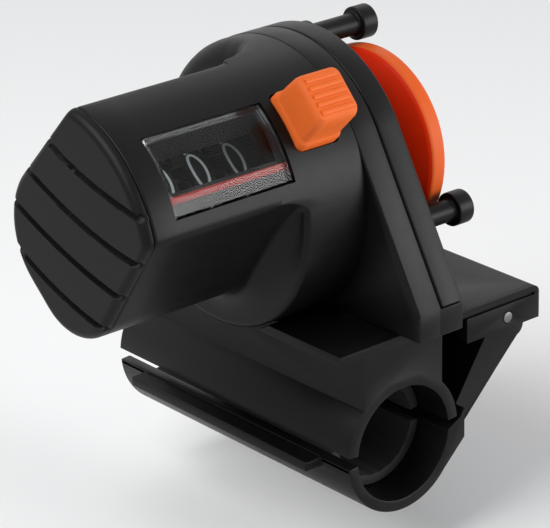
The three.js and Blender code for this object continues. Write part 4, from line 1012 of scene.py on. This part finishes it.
# %% Pin, clip spring and pads
pin_radius, pin_half = 0.75 * MM, clip_half + 0.1 * MM
pin = prism_y("clip_hinge_pin", circle(pin_place, pin_radius, 32), -pin_half, pin_half)
finished(bevel(pin, 0.15 * MM, 2), "counter", ["clip_pin"], dull_steel)
pad_inner, pad_outer, pad_half = 6.02 * MM, 7.4 * MM, 17.5 * MM
pad_ribs, pad_rib_depth, pad_steps = 10, 0.12 * MM, 80


def lining(name, start, end, body, node):
    """A rubber half tube with fine ribs along the rod."""
    ribbed = []
    for share in (i / pad_steps for i in range(pad_steps + 1)):
        rib = pad_rib_depth * (0.5 - 0.5 * math.cos(2 * math.pi * pad_ribs * share))
        ribbed.append(tuple(np.add(rod, polar(pad_inner + rib, start + (end - start) * share))))
    piece = prism_y(name, arc(rod, pad_outer, start, end, pad_steps) + ribbed[::-1], -pad_half, pad_half)
    finished(bevel(piece, 0.15 * MM, 2, 60), body, [node], rubber)


lining("upper_rubber", 7, 173, "counter", "upper_pad")
lining("lower_rubber", 187, 353, "jaw", "lower_pad")
clip_spring = grow("clip_torsion_spring", *spring_nodes, Turns=8.0, Coil_radius=1.2 * MM,
                   Height=12.8 * MM, Wire_radius=0.28 * MM)
spring_start = Matrix.Translation(at(6.4 * MM, pin_place[1], pin_place[0]))
moved(clip_spring, spring_start @ Matrix.Rotation(-math.pi / 2, 4, "X"))
finished(clip_spring, "counter", ["clip_spring"], steel)

# %% [markdown]
# What is left are inner parts whose shape in the frame is already right: the gears, shafts and comb.
# They stay as they are and only get their finishes. The movement's frame is the exception: its near
# plate is cut back to make room for the rear hollow, which also covers its second screw.

# %% Frame of the movement
cut_start, cut_end, cut_wall = 82, 205, 1.5 * MM
cut_left, cut_right = -18 * MM, -13.6 * MM


def trimmed_frame():
    """The movement's frame, with its near plate cut back behind the rear hollow."""
    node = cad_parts["counter_frame"]
    mesh = node.data.copy()
    mesh.transform(node.matrix_world)
    piece = bpy.data.objects.new("movement_frame", mesh)
    scene.collection.objects.link(piece)
    angles = np.linspace(cut_start, cut_end, 124)
    outline = arc((0, 0), barrel_radius, cut_start, cut_end, 60)
    outline += [polar(radius, angle) for radius, angle in zip(fan_radius(angles, cut_wall), angles)][::-1]
    return cut(piece, prism_x("hollow", outline, cut_left, cut_right))


finished(trimmed_frame(), "counter", ["counter_frame"], black_rough)

# %% Finishes on the inner parts
kept = {
    black: ["reset_comb", "carry_pinion_tens", "carry_pinion_hundreds"],
    acetal: ["first_gear", "second_gear", "third_gear", "units_gear"],
    steel: ["digit_shaft", "carry_shaft", "first_arbor", "third_arbor", "wheel_shaft", "frame_screw_1"],
    brass: ["shaft_bush", "drive_pinion"],
}
for finish, nodes in kept.items():
    for node in nodes:
        paint(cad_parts[node].data, finish)
print("inner parts kept:", sum(len(nodes) for nodes in kept.values()))

# %% [markdown]
# The studio: a pale floor below the clip, a white surround, one large soft lamp above on the left,
# one low in front on the right and a weak one behind. The camera stands where the photograph was taken
# from, with a long lens, and is described by its turn, height, distance and the point that it looks at.

# %% Floor and surround
sky_strength = 0.3


def surround():
    """White for the camera and in what shines or is looked through, and a weaker light for the rest."""
    scene.world = bpy.data.worlds.new("surround")
    scene.world.use_nodes = True
    tree = scene.world.node_tree
    tree.nodes.clear()
    out = add(tree, "ShaderNodeOutputWorld")
    seen = add(tree, "ShaderNodeBackground", {"Color": (1, 1, 1, 1), "Strength": 1.0})
    light = add(tree, "ShaderNodeBackground", {"Color": (0.95, 0.97, 1.0, 1), "Strength": sky_strength})
    rays = add(tree, "ShaderNodeLightPath")
    first, either = (add(tree, "ShaderNodeMath", operation="MAXIMUM") for _ in range(2))
    mix = add(tree, "ShaderNodeMixShader")
    wire_up(tree, [
        (rays, "Is Camera Ray", first, 0), (rays, "Is Transmission Ray", first, 1),
        (first, 0, either, 0), (rays, "Is Glossy Ray", either, 1), (either, 0, mix, "Fac"),
        (light, 0, mix, 1), (seen, 0, mix, 2), (mix, 0, out, "Surface"),
    ])


open_jaw_drop, floor_half = 7.6 * MM, 3.0


def pale_floor():
    """The floor, low enough for the open jaw."""
    material = bpy.data.materials.new("pale floor")
    material.use_nodes = True
    shader = material.node_tree.nodes["Principled BSDF"]
    pale = {"Base Color": (0.94, 0.94, 0.94, 1), "Roughness": 0.8, "Specular IOR Level": 0.1}
    for name, value in pale.items():
        shader.inputs[name].default_value = value
    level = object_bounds()[0][2] - open_jaw_drop
    corners = [(x * floor_half, y * floor_half, level) for x, y in ((-1, -1), (1, -1), (1, 1), (-1, 1))]
    floor = new_object("floor", corners, [(0, 1, 2, 3)])
    floor.data.materials.append(material)


surround()
pale_floor()
print("floor", open_jaw_drop * 1000, "mm below the clip")


# %% Lamps
def lamp(name, place, target, size, power):
    light = bpy.data.lights.new(name, "AREA")
    light.shape, light.size, light.size_y, light.energy = "RECTANGLE", size[0], size[1], power
    holder = bpy.data.objects.new(name, light)
    holder.location = place
    holder.rotation_euler = (Vector(target) - Vector(place)).to_track_quat("-Z", "Y").to_euler()
    scene.collection.objects.link(holder)


aim = at(0, 0, -12 * MM)
lamp("key", (-0.4, 0.02, 0.45), aim, (0.45, 0.4), 3.0)
lamp("front right", (0.38, -0.52, 0.14), aim, (0.5, 0.34), 4.0)
lamp("back", (0.3, 0.45, 0.5), aim, (0.5, 0.25), 0.45)

# %% Camera
camera_turn, camera_height, camera_roll = 40.04, 22.49, -1.2
camera_distance = 380.28 * MM
camera_aim = Vector((-1.368, -0.324, 17.642)) * MM
focal_pixels, photo_width, sensor_width = 3000, 550, 36
clip_start, clip_end = 0.01, 20


def photo_camera():
    """Turns about Z, X and its own line of sight, and then steps back from what it looks at."""
    data = bpy.data.cameras.new("camera")
    data.sensor_fit, data.sensor_width = "HORIZONTAL", sensor_width
    data.lens = focal_pixels / photo_width * sensor_width
    data.clip_start, data.clip_end = clip_start, clip_end
    camera = bpy.data.objects.new("camera", data)
    place = Matrix.Translation(camera_aim)
    for degrees, axis in ((-camera_turn, "Z"), (90 - camera_height, "X"), (camera_roll, "Z")):
        place = place @ Matrix.Rotation(math.radians(degrees), 4, axis)
    camera.matrix_world = place @ Matrix.Translation((0, 0, camera_distance))
    scene.collection.objects.link(camera)
    scene.camera = camera


photo_camera()
print("camera lens", round(scene.camera.data.lens, 1), "mm")
